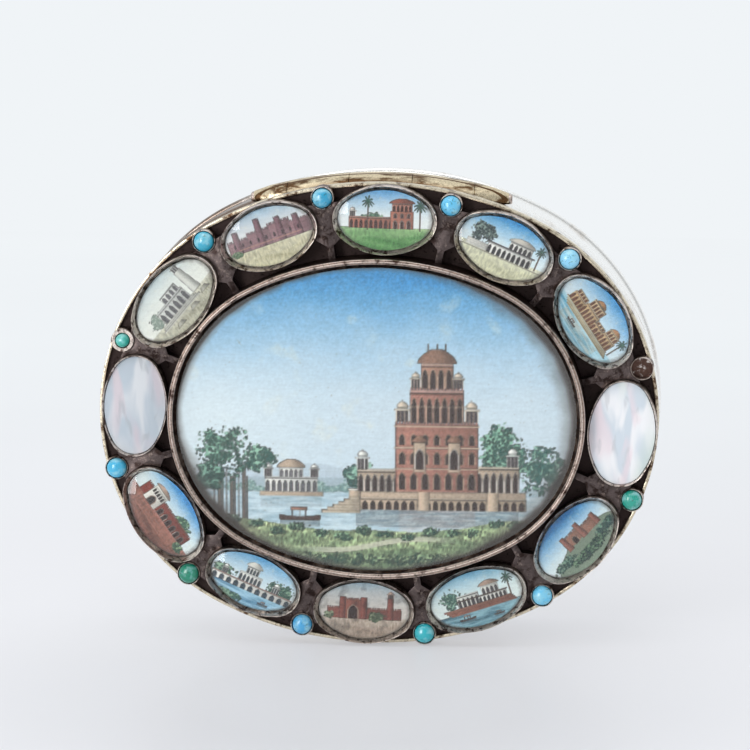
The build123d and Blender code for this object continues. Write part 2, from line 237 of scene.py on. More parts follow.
def turn(name, section, steps, axis=(0, 1, 0), centre=(0, 0, 0)):
    """A turned piece: its section, points of (radius, distance along the axis), is spun full circle."""
    axis, centre, out = Vector(axis), Vector(centre), Vector((0, 0, 1))
    places = [centre + out * radius + axis * along for radius, along in section]
    piece = start_piece(name, places[0])
    draw_through(places)
    bpy.ops.mesh.spin(steps=steps, angle=2 * pi, center=centre, axis=axis)
    return piece


def shares(count):
    """The ends of this many equal parts of the way from 0 to 1."""
    return [number / count for number in range(count + 1)]


def select_at(piece, depth):
    """Selects the open piece's vertices that lie at this depth."""
    bpy.ops.mesh.select_all(action="DESELECT")
    bpy.ops.object.mode_set(mode="OBJECT")
    for vertex in piece.data.vertices:
        vertex.select = abs((piece.matrix_world @ vertex.co).y - depth) < 0.01 * MM
    bpy.ops.object.mode_set(mode="EDIT")


def close_up(piece, smooth=SMOOTH_ANGLE):
    """Merges the seams, turns the faces outwards, leaves edit mode and settles the piece at the origin."""
    bpy.ops.mesh.select_all(action="SELECT")
    bpy.ops.mesh.remove_doubles(threshold=WELD)
    bpy.ops.mesh.normals_make_consistent(inside=False)
    bpy.ops.object.mode_set(mode="OBJECT")
    bpy.ops.object.transform_apply()
    bpy.ops.object.shade_smooth_by_angle(angle=radians(smooth))
    return piece


def domed_disc(name, oval, plate, disc, rings, steps=OVAL_STEPS):
    """An oval disc over the plate whose front, towards -Y, is domed as a slice of a sphere.

    Disc is how far its back stands off the plate, the thickness of its edge and the height of its dome.
    """
    half_length, _, _, middle = oval
    stand, edge, crown = disc
    back = plate - stand
    front = back - edge
    piece = sweep(name, oval, [(0, back), (0, front)], steps)
    bpy.ops.mesh.select_all(action="SELECT")
    bpy.ops.mesh.remove_doubles(threshold=WELD)
    select_at(piece, front)
    for ring in range(rings - 1, 0, -1):
        bpy.ops.mesh.extrude_region_move()
        shrink = ring / (ring + 1)
        bpy.ops.transform.resize(value=(shrink, 1, shrink), center_override=(0, front, middle))
    bpy.ops.mesh.extrude_region_move()
    bpy.ops.mesh.merge(type="CENTER")
    select_at(piece, back)
    bpy.ops.mesh.edge_face_add()
    close_up(piece)
    for vertex in piece.data.vertices:
        if vertex.co.y < back - edge / 2:
            reach = hypot(vertex.co.x, vertex.co.z - middle) / half_length
            vertex.co.y -= crown * (1 - reach**2)
    return piece


def choose(*pieces):
    """Selects only these pieces and makes the first one active."""
    bpy.ops.object.select_all(action="DESELECT")
    for piece in pieces:
        piece.select_set(True)
    bpy.context.view_layer.objects.active = pieces[0]


def settle(piece, place):
    """Moves the piece to this place and settles its object at the origin again."""
    choose(piece)
    piece.matrix_world = place
    bpy.ops.object.transform_apply()


def join(name, pieces):
    """Joins the pieces into one, with this name."""
    choose(*pieces)
    if len(pieces) > 1:
        bpy.ops.object.join()
    pieces[0].name = pieces[0].data.name = name
    return pieces[0]


def apply_modifier(piece, kind, **settings):
    """Adds a modifier to the piece with these settings and applies it."""
    choose(piece)
    modifier = piece.modifiers.new(kind.title(), kind)
    for setting, value in settings.items():
        setattr(modifier, setting, value)
    bpy.ops.object.modifier_apply(modifier=modifier.name)


def cut_away(piece, *cutters):
    """Cuts the cutters' shapes out of the piece and deletes them."""
    for cutter in cutters:
        apply_modifier(piece, "BOOLEAN", operation="DIFFERENCE", solver="EXACT", object=cutter)
        bpy.data.objects.remove(cutter, do_unlink=True)
    choose(piece)
    bpy.ops.object.shade_smooth_by_angle(angle=radians(SMOOTH_ANGLE))


def rows_of(mesh, value):
    """This value of the mesh's vertices, such as co or normal, as an array with a row for each."""
    rows = np.empty(len(mesh.vertices) * 3)
    mesh.vertices.foreach_get(value, rows)
    return rows.reshape(-1, 3)


def roughen(piece, strength, lump, seed):
    """Gives the piece the slight lumps of handwork: smooth noise, along its normals, inwards only."""
    mesh = piece.data
    places, normals = rows_of(mesh, "co"), rows_of(mesh, "normal")
    waves = np.zeros(len(places))
    rng = np.random.default_rng(seed)
    for _ in range(6):
        direction = rng.normal(size=3)
        direction *= 2 * pi / (np.linalg.norm(direction) * lump * rng.uniform(0.8, 2.4))
        waves += np.sin(places @ direction + rng.uniform(0, 2 * pi)) / 6
    places -= normals * (strength * (0.5 + 0.5 * waves))[:, None]
    mesh.vertices.foreach_set("co", places.ravel())
    mesh.update()


def hand_over(piece, body, material, node):
    """Gives a finished piece its material and body, and hides the CAD node that it stands for."""
    piece.data.materials.clear()
    piece.data.materials.append(material)
    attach(piece, body)
    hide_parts(node)


# ---- Places along the ring of settings --------------------------------------------------------------

# The maker bent each collet up round its own miniature and set it by eye. For each, clockwise from the
# top: how far it has slipped from its even share of the ring, how far outward it sits, and half its
# length and width, in millimetres.
SETTINGS = (
    (1.2, 0.0, 7.95, 5.35),
    (1.9, -0.1, 7.9, 5.2),
    (1.8, -0.1, 7.85, 5.3),
    (1.95, 0.0, 8.2, 5.35),
    (2.3, 0.1, 7.8, 5.1),
    (2.4, 0.2, 7.95, 5.0),
    (1.95, -0.05, 7.75, 5.1),
    (1.8, -0.4, 7.65, 4.75),
    (1.4, 0.05, 8.1, 5.15),
    (1.3, -0.3, 7.85, 5.05),
    (1.2, -0.25, 8.1, 5.2),
    (1.2, 0.2, 7.65, 5.15),
)
END_SHARE = 0.506  # radius of a setting's end arcs, as a share of its half length
# How far each turquoise cup is set in from the lid's edge, in millimetres.
CUP_INSETS = (1.9, 1.85, 1.55, 1.45, 1.65, 1.5, 1.8, 1.7, 1.6, 1.75, 1.75, 1.5)
PEARL_STATIONS = (3, 9)  # the settings that hold a pearl plaque, counted from nought
SMALL_STONE = 9  # the cup whose stone is smaller than the rest
NO_STONE = None
# Blue to green, clockwise from the top.
STONE_COLOURS = (
    *("#62BEE6", "#8ED2F2", NO_STONE, "#1F9F8C", "#6CC8EE", "#2BB4C0"),
    *("#4AA8DC", "#0A8468", "#3FB0D8", "#2FAE9E", "#2FA6C4", "#2A9CC4"),
)

# Each glass or pearl: how far its back stands off the lid plate, its edge's thickness and its dome's height.
CENTRE_GLASS = (4.53 * MM, 0.47 * MM, 0.9 * MM)
SMALL_GLASS = (2.13 * MM, 0.42 * MM, 0.75 * MM)
PEARL = (1.6 * MM, 1.4 * MM, 0.4 * MM)
PEARL_WALL = 0.4 * MM  # a pearl's collet is thinner than the rest
# Section of the grooved wire round the centre: points of (inset, rise) over its three ridges, in millimetres.
WIRE_RIDGES = (
    *((0.0, 0.0), (0.0, 0.3), (0.05, 0.42), (0.12, 0.47), (0.19, 0.42)),
    *((0.24, 0.34), (0.3, 0.52), (0.39, 0.6), (0.5, 0.59), (0.58, 0.5)),
    *((0.64, 0.36), (0.7, 0.44), (0.75, 0.42), (0.8, 0.28), (0.8, 0.0), (0.0, 0.0)),
)
CENTRE_FACE = 4.5 * MM  # how far the centre miniature's painted face stands off the lid plate
SMALL_FACE = 2.1 * MM  # and a small one's
IVORY = 0.4 * MM  # thickness of a painted plaque
TUCK = 0.1 * MM  # how far a plaque's edge reaches into its collet's wall
CUP_HEIGHT = 2.8 * MM
CUP_FLOOR = 1.2 * MM  # how far a cup's floor stands off the plate
SMALL_BORE = 1.1 * MM  # radius of the small stone
GIRDLE = 2.6 * MM  # how far a stone's widest line stands off the plate
STONE_CROWN = 1.1 * MM  # height of its dome over that line


def lid_oval(inset=0.0):
    """The lid's outline, drawn in by the inset."""
    shell = values()[0]
    return oval_of(shell.length, shell.width, shell.end_radius, inset, shell.width / 2)


def along_ring(distance, outward):
    """The frame on the lid plate this far clockwise along the ring: x along it, z outward, front -y."""
    shell, _, settings, _ = values()
    turns = oval_turns(lid_oval(settings.ring_inset))
    distance %= sum(radius * angle for _, radius, angle in turns)
    heading = 0.0
    for (x, z), radius, angle in turns:
        if distance <= radius * angle:
            break
        distance -= radius * angle
        heading += angle
    heading += distance / radius
    reach = radius + outward
    place = Vector((x + reach * sin(heading), shell.plate, z + reach * cos(heading)))
    return Matrix.Translation(place) @ Matrix.Rotation(heading, 4, "Y")


def setting_distances():
    """How far along the ring each setting stands, and the length of the ring."""
    settings = values()[2]
    around = sum(radius * angle for _, radius, angle in oval_turns(lid_oval(settings.ring_inset)))
    return [around * number / len(SETTINGS) + row[0] * MM for number, row in enumerate(SETTINGS)], around


def setting_places():
    """The frames that the settings stand in."""
    return [along_ring(distance, row[1] * MM) for distance, row in zip(setting_distances()[0], SETTINGS)]


def setting_oval(number, inset):
    """The outline of this setting's collet, drawn in by the inset, round its own middle."""
    _, _, half_length, half_width = SETTINGS[number]
    return oval_of(2 * half_length * MM, 2 * half_width * MM, END_SHARE * half_length * MM, inset)


def cup_places():
    """Frames midway between neighbouring settings, each moved out to its own inset."""
    distances, around = setting_distances()
    following = distances[1:] + [distances[0] + around]
    ring_inset = values()[2].ring_inset
    return [
        along_ring((here + after) / 2, ring_inset - inset * MM)
        for here, after, inset in zip(distances, following, CUP_INSETS)
    ]


# ---- Finishes ----------------------------------------------------------------------------------------


def start_material(name):
    """A new material and its empty node tree."""
    material = bpy.data.materials.new(name)
    material.use_nodes = True
    material.node_tree.nodes.clear()
    return material, material.node_tree


def add_node(tree, kind, sockets=None, **settings):
    """Adds a shader node. A socket takes a value, an output, or a node in place of its first output."""
    node = tree.nodes.new("ShaderNode" + kind)
    for name, value in settings.items():
        setattr(node, name, value)
    for name, value in (sockets or {}).items():
        if isinstance(value, bpy.types.Node):
            value = next(output for output in value.outputs if output.enabled)
        if isinstance(value, bpy.types.NodeSocket):
            tree.links.new(value, node.inputs[name])
        else:
            node.inputs[name].default_value = value
    return node


# Widths of what handwork and wear leave on every metal here: rubbed or rusty flecks, pits and dents.
FLECK = 0.9 * MM
PIT = 0.35 * MM
DENT = 1.4 * MM


def hand_finished_metal(
    name, bright, worn, lump, cover, roughness, fade=None, dent=0.03 * MM, flecks=None, stain_and_shade=None,
    pitting=0.4, drawn=1.0, shade_line=None,
):
    """Metal with two colours: worn shows in patches this big and, over the fade's depths, at the back.

    Cover is the two heights of the patches' noise between which worn comes in, and roughness that of the
    glossiest and the dullest spots. Flecks, if it isn't None, is a third colour in small rubbed or rusty
    spots. Its stain_and_shade is a colour, a place and the reach of a ragged patch of that colour round it:
    a stained patch on the base, painted shade on the walls. Drawn is how many times longer than wide the
    patches are, along the oval's long axis. Its shade_line is the depth and half width of a dark line of
    painted shade along the metal, which stands for the step between two ridges on the hinge.
    """
    material, tree = start_material(name)
    place = add_node(tree, "TexCoord").outputs["Object"]
    along = add_node(tree, "Mapping", {"Vector": place, "Scale": (1 / drawn, 1, 1)})
    patches = add_node(
        tree,
        "TexNoise",
        {"Vector": along, "Scale": 1 / lump, "Detail": 6, "Roughness": 0.65, "Distortion": 0.3},
    )
    share = add_node(
        tree,
        "MapRange",
        {"Value": patches, "From Min": cover[0], "From Max": cover[1]},
        interpolation_type="SMOOTHSTEP",
    )
    # Over the fade's depths the second colour comes in: oxide or another metal, and on the hinge painted
    # shade.
    if fade:
        depth = add_node(tree, "SeparateXYZ", {"Vector": place}).outputs["Y"]
        deep = add_node(tree, "MapRange", {"Value": depth, "From Min": fade[0], "From Max": fade[1]})
        share = add_node(tree, "Math", {0: share, 1: deep}, operation="ADD", use_clamp=True)
    # A dark line of painted shade along the metal.
    if shade_line:
        depth = add_node(tree, "SeparateXYZ", {"Vector": place}).outputs["Y"]
        line = add_node(tree, "Math", {0: depth, 1: shade_line[0], 2: shade_line[1]}, operation="COMPARE")
        share = add_node(tree, "Math", {0: share, 1: line}, operation="MAXIMUM")
    tone = add_node(tree, "Mix", {"Factor": share, "A": bright, "B": worn}, data_type="RGBA")
    if flecks:
        spots = add_node(
            tree, "TexNoise", {"Vector": place, "Scale": 1 / FLECK, "Detail": 5, "Roughness": 0.75}
        )
        spot = add_node(
            tree, "MapRange", {"Value": spots, "From Min": 0.56, "From Max": 0.64, "To Max": 0.85}
        )
        tone = add_node(tree, "Mix", {"Factor": spot, "A": tone, "B": flecks}, data_type="RGBA")
    # A ragged patch of one colour round a place: a stained patch on the base, painted shade on the walls.
    if stain_and_shade:
        tint, middle, reach = stain_and_shade
        away = add_node(tree, "VectorMath", {0: place, 1: middle}, operation="DISTANCE")
        ragged = add_node(tree, "Math", {0: patches, 1: reach, 2: away}, operation="MULTIPLY_ADD")
        # The patch's share at each point. On the walls it is painted shade.
        tarnish = add_node(
            tree, "MapRange", {"Value": ragged, "From Min": 1.5 * reach, "From Max": reach, "To Max": 0.9}
        )
        tone = add_node(tree, "Mix", {"Factor": tarnish, "A": tone, "B": tint}, data_type="RGBA")
    pores = add_node(tree, "TexNoise", {"Vector": place, "Scale": 1 / PIT, "Detail": 4, "Roughness": 0.7})
    pits = add_node(
        tree,
        "MapRange",
        {"Value": pores, "From Min": 0.35, "From Max": 0.7, "To Min": 1.12 - pitting, "To Max": 1.12},
    )
    tone = add_node(tree, "Mix", {"Factor": 1, "A": tone, "B": pits}, data_type="RGBA", blend_type="MULTIPLY")
    gloss = add_node(
        tree,
        "MapRange",
        {"Value": pores, "From Min": 0.3, "From Max": 0.7, "To Min": roughness[0], "To Max": roughness[1]},
    )
    dents = add_node(tree, "TexNoise", {"Vector": place, "Scale": 1 / DENT, "Detail": 5, "Roughness": 0.6})
    bump = add_node(tree, "Bump", {"Height": dents, "Strength": 0.6, "Distance": dent})
    surface = add_node(
        tree, "BsdfPrincipled", {"Base Color": tone, "Metallic": 1, "Roughness": gloss, "Normal": bump}
    )
    add_node(tree, "OutputMaterial", {"Surface": surface})
    return material


def wall_silver():
    """Rubbed sterling silver: bright, softly blurred reflections, faint dents, and a ragged brown patch of
    painted shade over the walls at the upper left."""
    colours = values()[3]
    return hand_finished_metal(
        "rubbed_wall_silver",
        colours.wall,
        linear("#CFC6BC"),
        lump=9 * MM,
        cover=(0.55, 0.8),
        roughness=(0.2, 0.3),
        dent=0.012 * MM,
        # Painted shade: a ragged brown patch darkens the walls at the upper left.
        stain_and_shade=(linear("#6B5340"), (-26 * MM, 1 * MM, 61 * MM), 19 * MM),
        pitting=0.15,
    )


def collet_silver(name, height, clean):
    """Thin worn silver over dirt: bright where fingers rub the lips, brown and dull below the clean depth."""
    shell, _, _, colours = values()
    front = shell.plate - height
    return hand_finished_metal(
        name,
        colours.silver,
        colours.tarnish,
        lump=1.0 * MM,
        cover=(0.49, 0.61),
        roughness=(0.24, 0.5),
        fade=(front + clean, front + 3 * clean),
        dent=0.08 * MM,
        flecks=linear("#F0E7E0"),
    )


def bezel_silver():
    """The centre bezel's wall: thick brown oxide that polishing has not reached."""
    shell, _, settings, _ = values()
    front = shell.plate - settings.centre_height
    return hand_finished_metal(
        "oxidised_bezel_silver",
        linear("#86746A"),
        linear("#3A2B26"),
        lump=2.6 * MM,
        cover=(0.36, 0.6),
        roughness=(0.35, 0.6),
        fade=(front - 0.2 * MM, front + 2.4 * MM),
        flecks=linear("#5E4232"),
    )


def wire_silver():
    """Drawn silver wire: pinkish grey, with brown tarnish in patches over its ridges and grooves."""
    return hand_finished_metal(
        "grooved_silver_wire",
        linear("#D2C2B8"),
        values()[3].tarnish,
        lump=1.6 * MM,
        cover=(0.52, 0.68),
        roughness=(0.22, 0.45),
        dent=0.05 * MM,
    )


def gallery_metal():
    """Silver browned with sulphur, as left in a gallery: hammered, dull, with soot low down."""
    shell, _, _, colours = values()
    return hand_finished_metal(
        "blackened_gallery_silver",
        colours.web,
        linear("#352A27"),
        lump=1.4 * MM,
        cover=(0.45, 0.64),
        roughness=(0.26, 0.46),
        fade=(shell.plate - 1.6 * MM, shell.plate),
        dent=0.09 * MM,
        flecks=linear("#8F8079"),
    )


def recess_metal():
    """The lid plate: soot in front of its face, gilding behind it, inside the box."""
    shell, _, _, colours = values()
    return hand_finished_metal(
        "sooted_lid_plate",
        colours.soot,
        colours.gilt,
        lump=2.5 * MM,
        cover=(0.9, 1.0),
        roughness=(0.4, 0.65),
        fade=(shell.plate + 0.3 * MM, shell.plate + 0.4 * MM),
        flecks=linear("#17110F"),
    )


def base_metal():
    """The base plate: gilded inside with a dull bloom, plain rubbed silver behind, where it is stood on."""
    shell, _, _, colours = values()
    return hand_finished_metal(
        "base_plate_gilt_inside",
        colours.gilt,
        linear("#E6E2DC"),
        lump=6 * MM,
        cover=(0.62, 0.8),
        roughness=(0.36, 0.5),
        fade=(shell.back - 0.4 * MM, shell.back - 0.25 * MM),
        dent=0.02 * MM,
        stain_and_shade=(linear("#B3A99E"), (24 * MM, shell.back, 14 * MM), 17 * MM),
        pitting=0.2,
    )


def gilding():
    """Mercury gilding: warm, soft gloss, worn through to darker metal in streaks."""
    colours = values()[3]
    return hand_finished_metal(
        "mercury_gilding",
        colours.gilt,
        colours.worn_and_shaded_gilt,
        lump=4 * MM,
        cover=(0.5, 0.72),
        roughness=(0.22, 0.4),
        dent=0.02 * MM,
    )


def knuckle_gilding():
    """The hinge's gilding: cream where it is rubbed, worn to brown in streaks along the barrel, with brown
    painted shade over the barrel's front, where it meets the lid, and a dark line of painted shade for the
    step between its two ridges."""
    shell, _, _, colours = values()
    # The painted shade over the barrel's front starts this far in front of the joint.
    edge = shell.joint - 2.1 * MM
    return hand_finished_metal(
        "rubbed_knuckle_gilding",
        linear("#EAD9B8"),
        colours.worn_and_shaded_gilt,
        lump=1.3 * MM,
        cover=(0.47, 0.62),
        roughness=(0.2, 0.42),
        # Painted shade: brown over the barrel's front, which turns away from the light.
        fade=(edge, edge - 0.8 * MM),
        dent=0.05 * MM,
        drawn=5,
        # Painted shade: a dark line along the barrel for the step between its two ridges.
        shade_line=(shell.joint - 1.1 * MM, 0.16 * MM),
    )


def rim_metal():
    """Gilt silver along the lid's edge: rubbed pale, with brown left in patches."""
    return hand_finished_metal(
        "rubbed_gilt_rim",
        linear("#E9DDC4"),
        linear("#6A503C"),
        lump=1.7 * MM,
        cover=(0.5, 0.64),
        roughness=(0.22, 0.42),
        dent=0.06 * MM,
    )


def clear_glass():
    """Old hand-ground crown glass: clear, a touch grey, glossy. Lamps' rays pass straight through."""
    material, tree = start_material("old_clear_glass")
    place = add_node(tree, "TexCoord").outputs["Object"]
    waves = add_node(tree, "TexNoise", {"Vector": place, "Scale": 1 / (3 * MM), "Detail": 2})
    smears = add_node(
        tree, "MapRange", {"Value": waves, "From Min": 0.4, "From Max": 0.75, "To Min": 0.01, "To Max": 0.06}
    )
    bump = add_node(tree, "Bump", {"Height": waves, "Strength": 0.15, "Distance": 0.03 * MM})
    body = {"Base Color": linear("#F6F9F8"), "Roughness": smears, "IOR": 1.5, "Transmission Weight": 1}
    glass = add_node(tree, "BsdfPrincipled", {**body, "Normal": bump})
    through = add_node(tree, "BsdfTransparent", {"Color": linear("#FAFCFB")})
    lamp = add_node(tree, "LightPath").outputs["Is Shadow Ray"]
    surface = add_node(tree, "MixShader", {"Fac": lamp, 1: glass, 2: through})
    add_node(tree, "OutputMaterial", {"Surface": surface})
    return material


def nacre(name, tint):
    """Mother-of-pearl, cut flat and polished: pale grey, slow bands of pink and green in its layers."""
    material, tree = start_material(name)
    place = add_node(tree, "TexCoord").outputs["Object"]
    # The layers were sawn across, so their edges show as slow upright bands.
    upright = add_node(tree, "Mapping", {"Vector": place, "Scale": (1, 1, 0.3)})
    tone = values()[3].pearl
    for lump, start, end, most, layer in (
        (3.2 * MM, 0.4, 0.58, 1, "#F4F6F7"),
        (4.1 * MM, 0.5, 0.66, 0.75, "#EEDDE2"),
        (5.3 * MM, 0.48, 0.34, 0.7, "#C9DDD4"),
        (1.3 * MM, 0.6, 0.75, 0.5, "#C3C7CB"),
    ):
        bands = add_node(
            tree,
            "TexNoise",
            {"Vector": upright, "Scale": 1 / lump, "Detail": 2, "Roughness": 0.45, "Distortion": 0.6},
        )
        share = add_node(
            tree,
            "MapRange",
            {"Value": bands, "From Min": start, "From Max": end, "To Max": most},
            interpolation_type="SMOOTHSTEP",
        )
        tone = add_node(tree, "Mix", {"Factor": share, "A": tone, "B": linear(layer)}, data_type="RGBA")
    tone = add_node(
        tree, "Mix", {"Factor": 1, "A": tone, "B": linear(tint)}, data_type="RGBA", blend_type="MULTIPLY"
    )
    polish = {"Roughness": 0.24, "IOR": 1.56, "Coat Weight": 0.3, "Coat Roughness": 0.08}
    surface = add_node(tree, "BsdfPrincipled", {"Base Color": tone, **polish})
    add_node(tree, "OutputMaterial", {"Surface": surface})
    return material


def turquoise():
    """Turquoise: waxy, opaque blue to green from stone to stone, with paler clouds and a thin matrix."""
    material, tree = start_material("polished_turquoise")
    own = add_node(tree, "Attribute", attribute_name="stone")
    place = add_node(tree, "TexCoord").outputs["Object"]
    clouds = add_node(tree, "TexNoise", {"Vector": place, "Scale": 1 / (1.3 * MM), "Detail": 4})
    pale = add_node(tree, "MapRange", {"Value": clouds, "From Min": 0.45, "From Max": 0.65, "To Max": 0.6})
    tone = add_node(tree, "Mix", {"Factor": pale, "A": own, "B": linear("#A8DCE4")}, data_type="RGBA")
    veins = add_node(
        tree, "TexNoise", {"Vector": place, "Scale": 1 / (0.8 * MM), "Detail": 5, "Distortion": 2}
    )
    matrix = add_node(tree, "MapRange", {"Value": veins, "From Min": 0.6, "From Max": 0.68, "To Max": 0.6})
    tone = add_node(tree, "Mix", {"Factor": matrix, "A": tone, "B": linear("#2A5A50")}, data_type="RGBA")
    polish = {"Roughness": 0.22, "IOR": 1.62, "Coat Weight": 0.3, "Coat Roughness": 0.05}
    surface = add_node(tree, "BsdfPrincipled", {"Base Color": tone, **polish})
    add_node(tree, "OutputMaterial", {"Surface": surface})
    return material


def painted_ivory():
    """Gouache on ivory: matt paint laid in fine level strokes, with a little of the ivory's grain."""
    material, tree = start_material("gouache_on_ivory")
    paint = add_node(tree, "Attribute", attribute_name="painting")
    place = add_node(tree, "TexCoord").outputs["Object"]
    level = add_node(tree, "Mapping", {"Vector": place, "Scale": (1, 1, 9)})
    strokes = add_node(
        tree, "TexNoise", {"Vector": level, "Scale": 1 / (2.2 * MM), "Detail": 4, "Roughness": 0.6}
    )
    tint = add_node(
        tree, "MapRange", {"Value": strokes, "From Min": 0.3, "From Max": 0.7, "To Min": 0.95, "To Max": 1.04}
    )
    tone = add_node(
        tree, "Mix", {"Factor": 1, "A": paint, "B": tint}, data_type="RGBA", blend_type="MULTIPLY"
    )
    surface = add_node(
        tree, "BsdfPrincipled", {"Base Color": tone, "Roughness": 0.6, "Specular IOR Level": 0.15}
    )
    add_node(tree, "OutputMaterial", {"Surface": surface})
    return material


def packing_card():
    """Thin grey-brown card behind the plaque: matt, with flecks of fibre."""
    material, tree = start_material("packing_card")
    place = add_node(tree, "TexCoord").outputs["Object"]
    fibres = add_node(tree, "TexNoise", {"Vector": place, "Scale": 1 / (0.5 * MM), "Detail": 6})
    tone = add_node(
        tree, "Mix", {"Factor": fibres, "A": linear("#8A7A66"), "B": linear("#B0A08A")}, data_type="RGBA"
    )
    surface = add_node(tree, "BsdfPrincipled", {"Base Color": tone, "Roughness": 0.85})
    add_node(tree, "OutputMaterial", {"Surface": surface})
    return material


def wear(node, material):
    """Gives a CAD node that keeps its own shape this material."""
    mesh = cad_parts[node].data
    mesh.materials.clear()
    mesh.materials.append(material)


# ---- Body and hinge ----------------------------------------------------------------------------------


HINGE_JOINTS = (-14.2 * MM, -4.8 * MM, 4.8 * MM, 14.2 * MM)  # where one knuckle ends and the next starts
KNUCKLE_GAP = 0.05 * MM  # as near as filed knuckles stand
KNUCKLE_EDGE = 0.05 * MM  # how much a knuckle's edges are softened
SOLDERED = 0.05 * MM  # how far a wall reaches into its own knuckles
SWING_ROOM = 0.25 * MM  # between a wall and the knuckles that swing past it
PIN_END = 0.5 * MM  # how far the pin stands out of the barrel
PIN_BORE = 0.6 * MM  # radius of the pin's hole through the knuckles
ACROSS = (1, 0, 0)  # the pin's axis
RELIEF_SPAN = (-8.5 * MM, 8.5 * MM)  # where the lid's wall is filed back beside the barrel


def hinge_section(span, growth, bore):
    """Section of a knuckle over this span: the barrel's crown is an arc that follows the oval."""
    hinge = values()[1]
    arc_radius = (hinge.half_length**2 + hinge.crown**2) / (2 * hinge.crown)
    arc_centre = hinge.end_radius + hinge.crown - arc_radius
    start, stop = span
    tip, taper_start = hinge.half_length, hinge.half_length - hinge.taper

    def reach(x):
        crown = arc_centre + sqrt((arc_radius + growth) ** 2 - min(abs(x), taper_start) ** 2)
        filed = max(0.0, (abs(x) - taper_start) / (tip - taper_start))
        return crown + (hinge.tip_radius + growth - crown) * filed

    soft = KNUCKLE_EDGE if growth == 0 else 0.0
    places = [start + soft + (stop - start - 2 * soft) * share for share in shares(10)]
    places += [x for x in (-taper_start, taper_start) if start + soft < x < stop - soft]
    crown = [(reach(x), x) for x in sorted(places)]
    first, last = (crown[0][0] - soft, start), (crown[-1][0] - soft, stop)
    return [(bore, start), first, *crown, last, (bore, stop), (bore, start)]


def pin_place():
    """The middle of the pin."""
    shell, hinge, _, _ = values()
    return Vector((0, shell.joint, knuckle_low[2] + hinge.inner_cut))


def barrel(name, spans, growth=0.0, bore=0.0):
    """Turned knuckles about the pin, joined into one piece."""
    made = []
    for number, span in enumerate(spans):
        knuckle = turn(f"{name}_{number}", hinge_section(span, growth, bore), 72, ACROSS, pin_place())
        made.append(close_up(knuckle, smooth=30))
    return join(name, made)


def knuckle_spans():
    """Spans of the body's knuckles and of the lid's, without their gaps."""
    hinge = values()[1]
    ends = (-hinge.half_length - KNUCKLE_GAP / 2, *HINGE_JOINTS, hinge.half_length + KNUCKLE_GAP / 2)
    spans = [(start + KNUCKLE_GAP / 2, stop - KNUCKLE_GAP / 2) for start, stop in zip(ends, ends[1:])]
    return spans[0::2], spans[1::2]


def cut_for_hinge(piece, swinging):
    """Cuts the barrel, and the room that the other body's knuckles swing in, out of a wall."""
    hinge = values()[1]
    whole = barrel("hinge_cutter", [(-hinge.half_length, hinge.half_length)], growth=-SOLDERED)
    reach = hinge.half_length + PIN_END
    bore = [(0, -reach), (hinge.tip_radius, -reach), (hinge.tip_radius, reach), (0, reach)]
    pin_room = close_up(turn("pin_cutter", bore, 48, ACROSS, pin_place()))
    room = [(start - hinge.gap, stop + hinge.gap) for start, stop in swinging]
    cut_away(piece, whole, pin_room, barrel("swing_cutter", room, growth=SWING_ROOM))


def wall_section(far):
    """Section of a side wall from the joint to this depth, with a half-round bead at the joint."""
    shell = values()[0]
    inset, joint = shell.wall_inset, shell.joint
    inside = inset + shell.wall
    bead = shell.bead if far > joint else -shell.bead
    curve = [(inset * (1 - sin(pi * share)), joint + bead * share) for share in shares(8)]
    return [(inside, joint), *curve, (inset, far), (inside, far), (inside, joint)]


class PAANBOX_OT_body(bpy.types.Operator):
    """Adds the body: side wall, base moulding, base plate and the gilt bearer inside the mouth"""

    bl_idname = "paanbox.body"
    bl_label = "Body"

    def execute(self, context):
        shell, hinge, _, _ = values()
        inside = shell.wall_inset + shell.wall
        front = shell.back - shell.moulding
        wall = close_up(sweep("side_wall", lid_oval(), wall_section(front)))
        cut_for_hinge(wall, knuckle_spans()[1])
        silver = wall_silver()
        hand_over(wall, "box", silver, "body_wall")

        round_off = 0.45 * MM
        turns = [pi / 2 * share for share in shares(4)]
        corner = [(round_off * (1 - sin(angle)), round_off * (1 - cos(angle))) for angle in turns]
        section = [(inside, shell.back)]
        section += [(inset, shell.back - depth) for inset, depth in corner]
        section += [(inset, front + depth) for inset, depth in reversed(corner)]
        section += [(inside, front), (inside, shell.back)]
        moulding = close_up(sweep("base_edge", lid_oval(), section))
        hand_over(moulding, "box", silver, "base_moulding")

        # The bearer is soldered inside the body and stands clear of the lid's wall, which its bevel guides.
        foot, mouth, bevel = shell.joint + 7 * MM, shell.joint - 1.5 * MM, 0.2 * MM
        clear, inner = inside + 0.3 * MM, inside + 0.8 * MM
        section = [
            (inside, foot),
            (inside, shell.joint),
            (clear, shell.joint),
            (clear, mouth + bevel),
            (clear + bevel, mouth),
            (inner, mouth),
            (inner, foot),
            (inside, foot),
        ]
        bearer = close_up(sweep("gilt_bearer", lid_oval(), section))
        # It stops short of the hinge, where the lid's knuckles swing in.
        gap = 2 * (hinge.half_length + 1.1 * MM)
        bpy.ops.object.select_all(action="DESELECT")
        bpy.ops.mesh.primitive_cube_add(size=1, location=(0, shell.joint + 3 * MM, shell.width))
        cutter = bpy.context.active_object
        cutter.scale = (gap, 20 * MM, shell.width)
        bpy.ops.object.transform_apply()
        cut_away(bearer, cutter)
        hand_over(bearer, "box", gilding(), "mouth_bearer")

        wear("base_plate", base_metal())
        return {"FINISHED"}


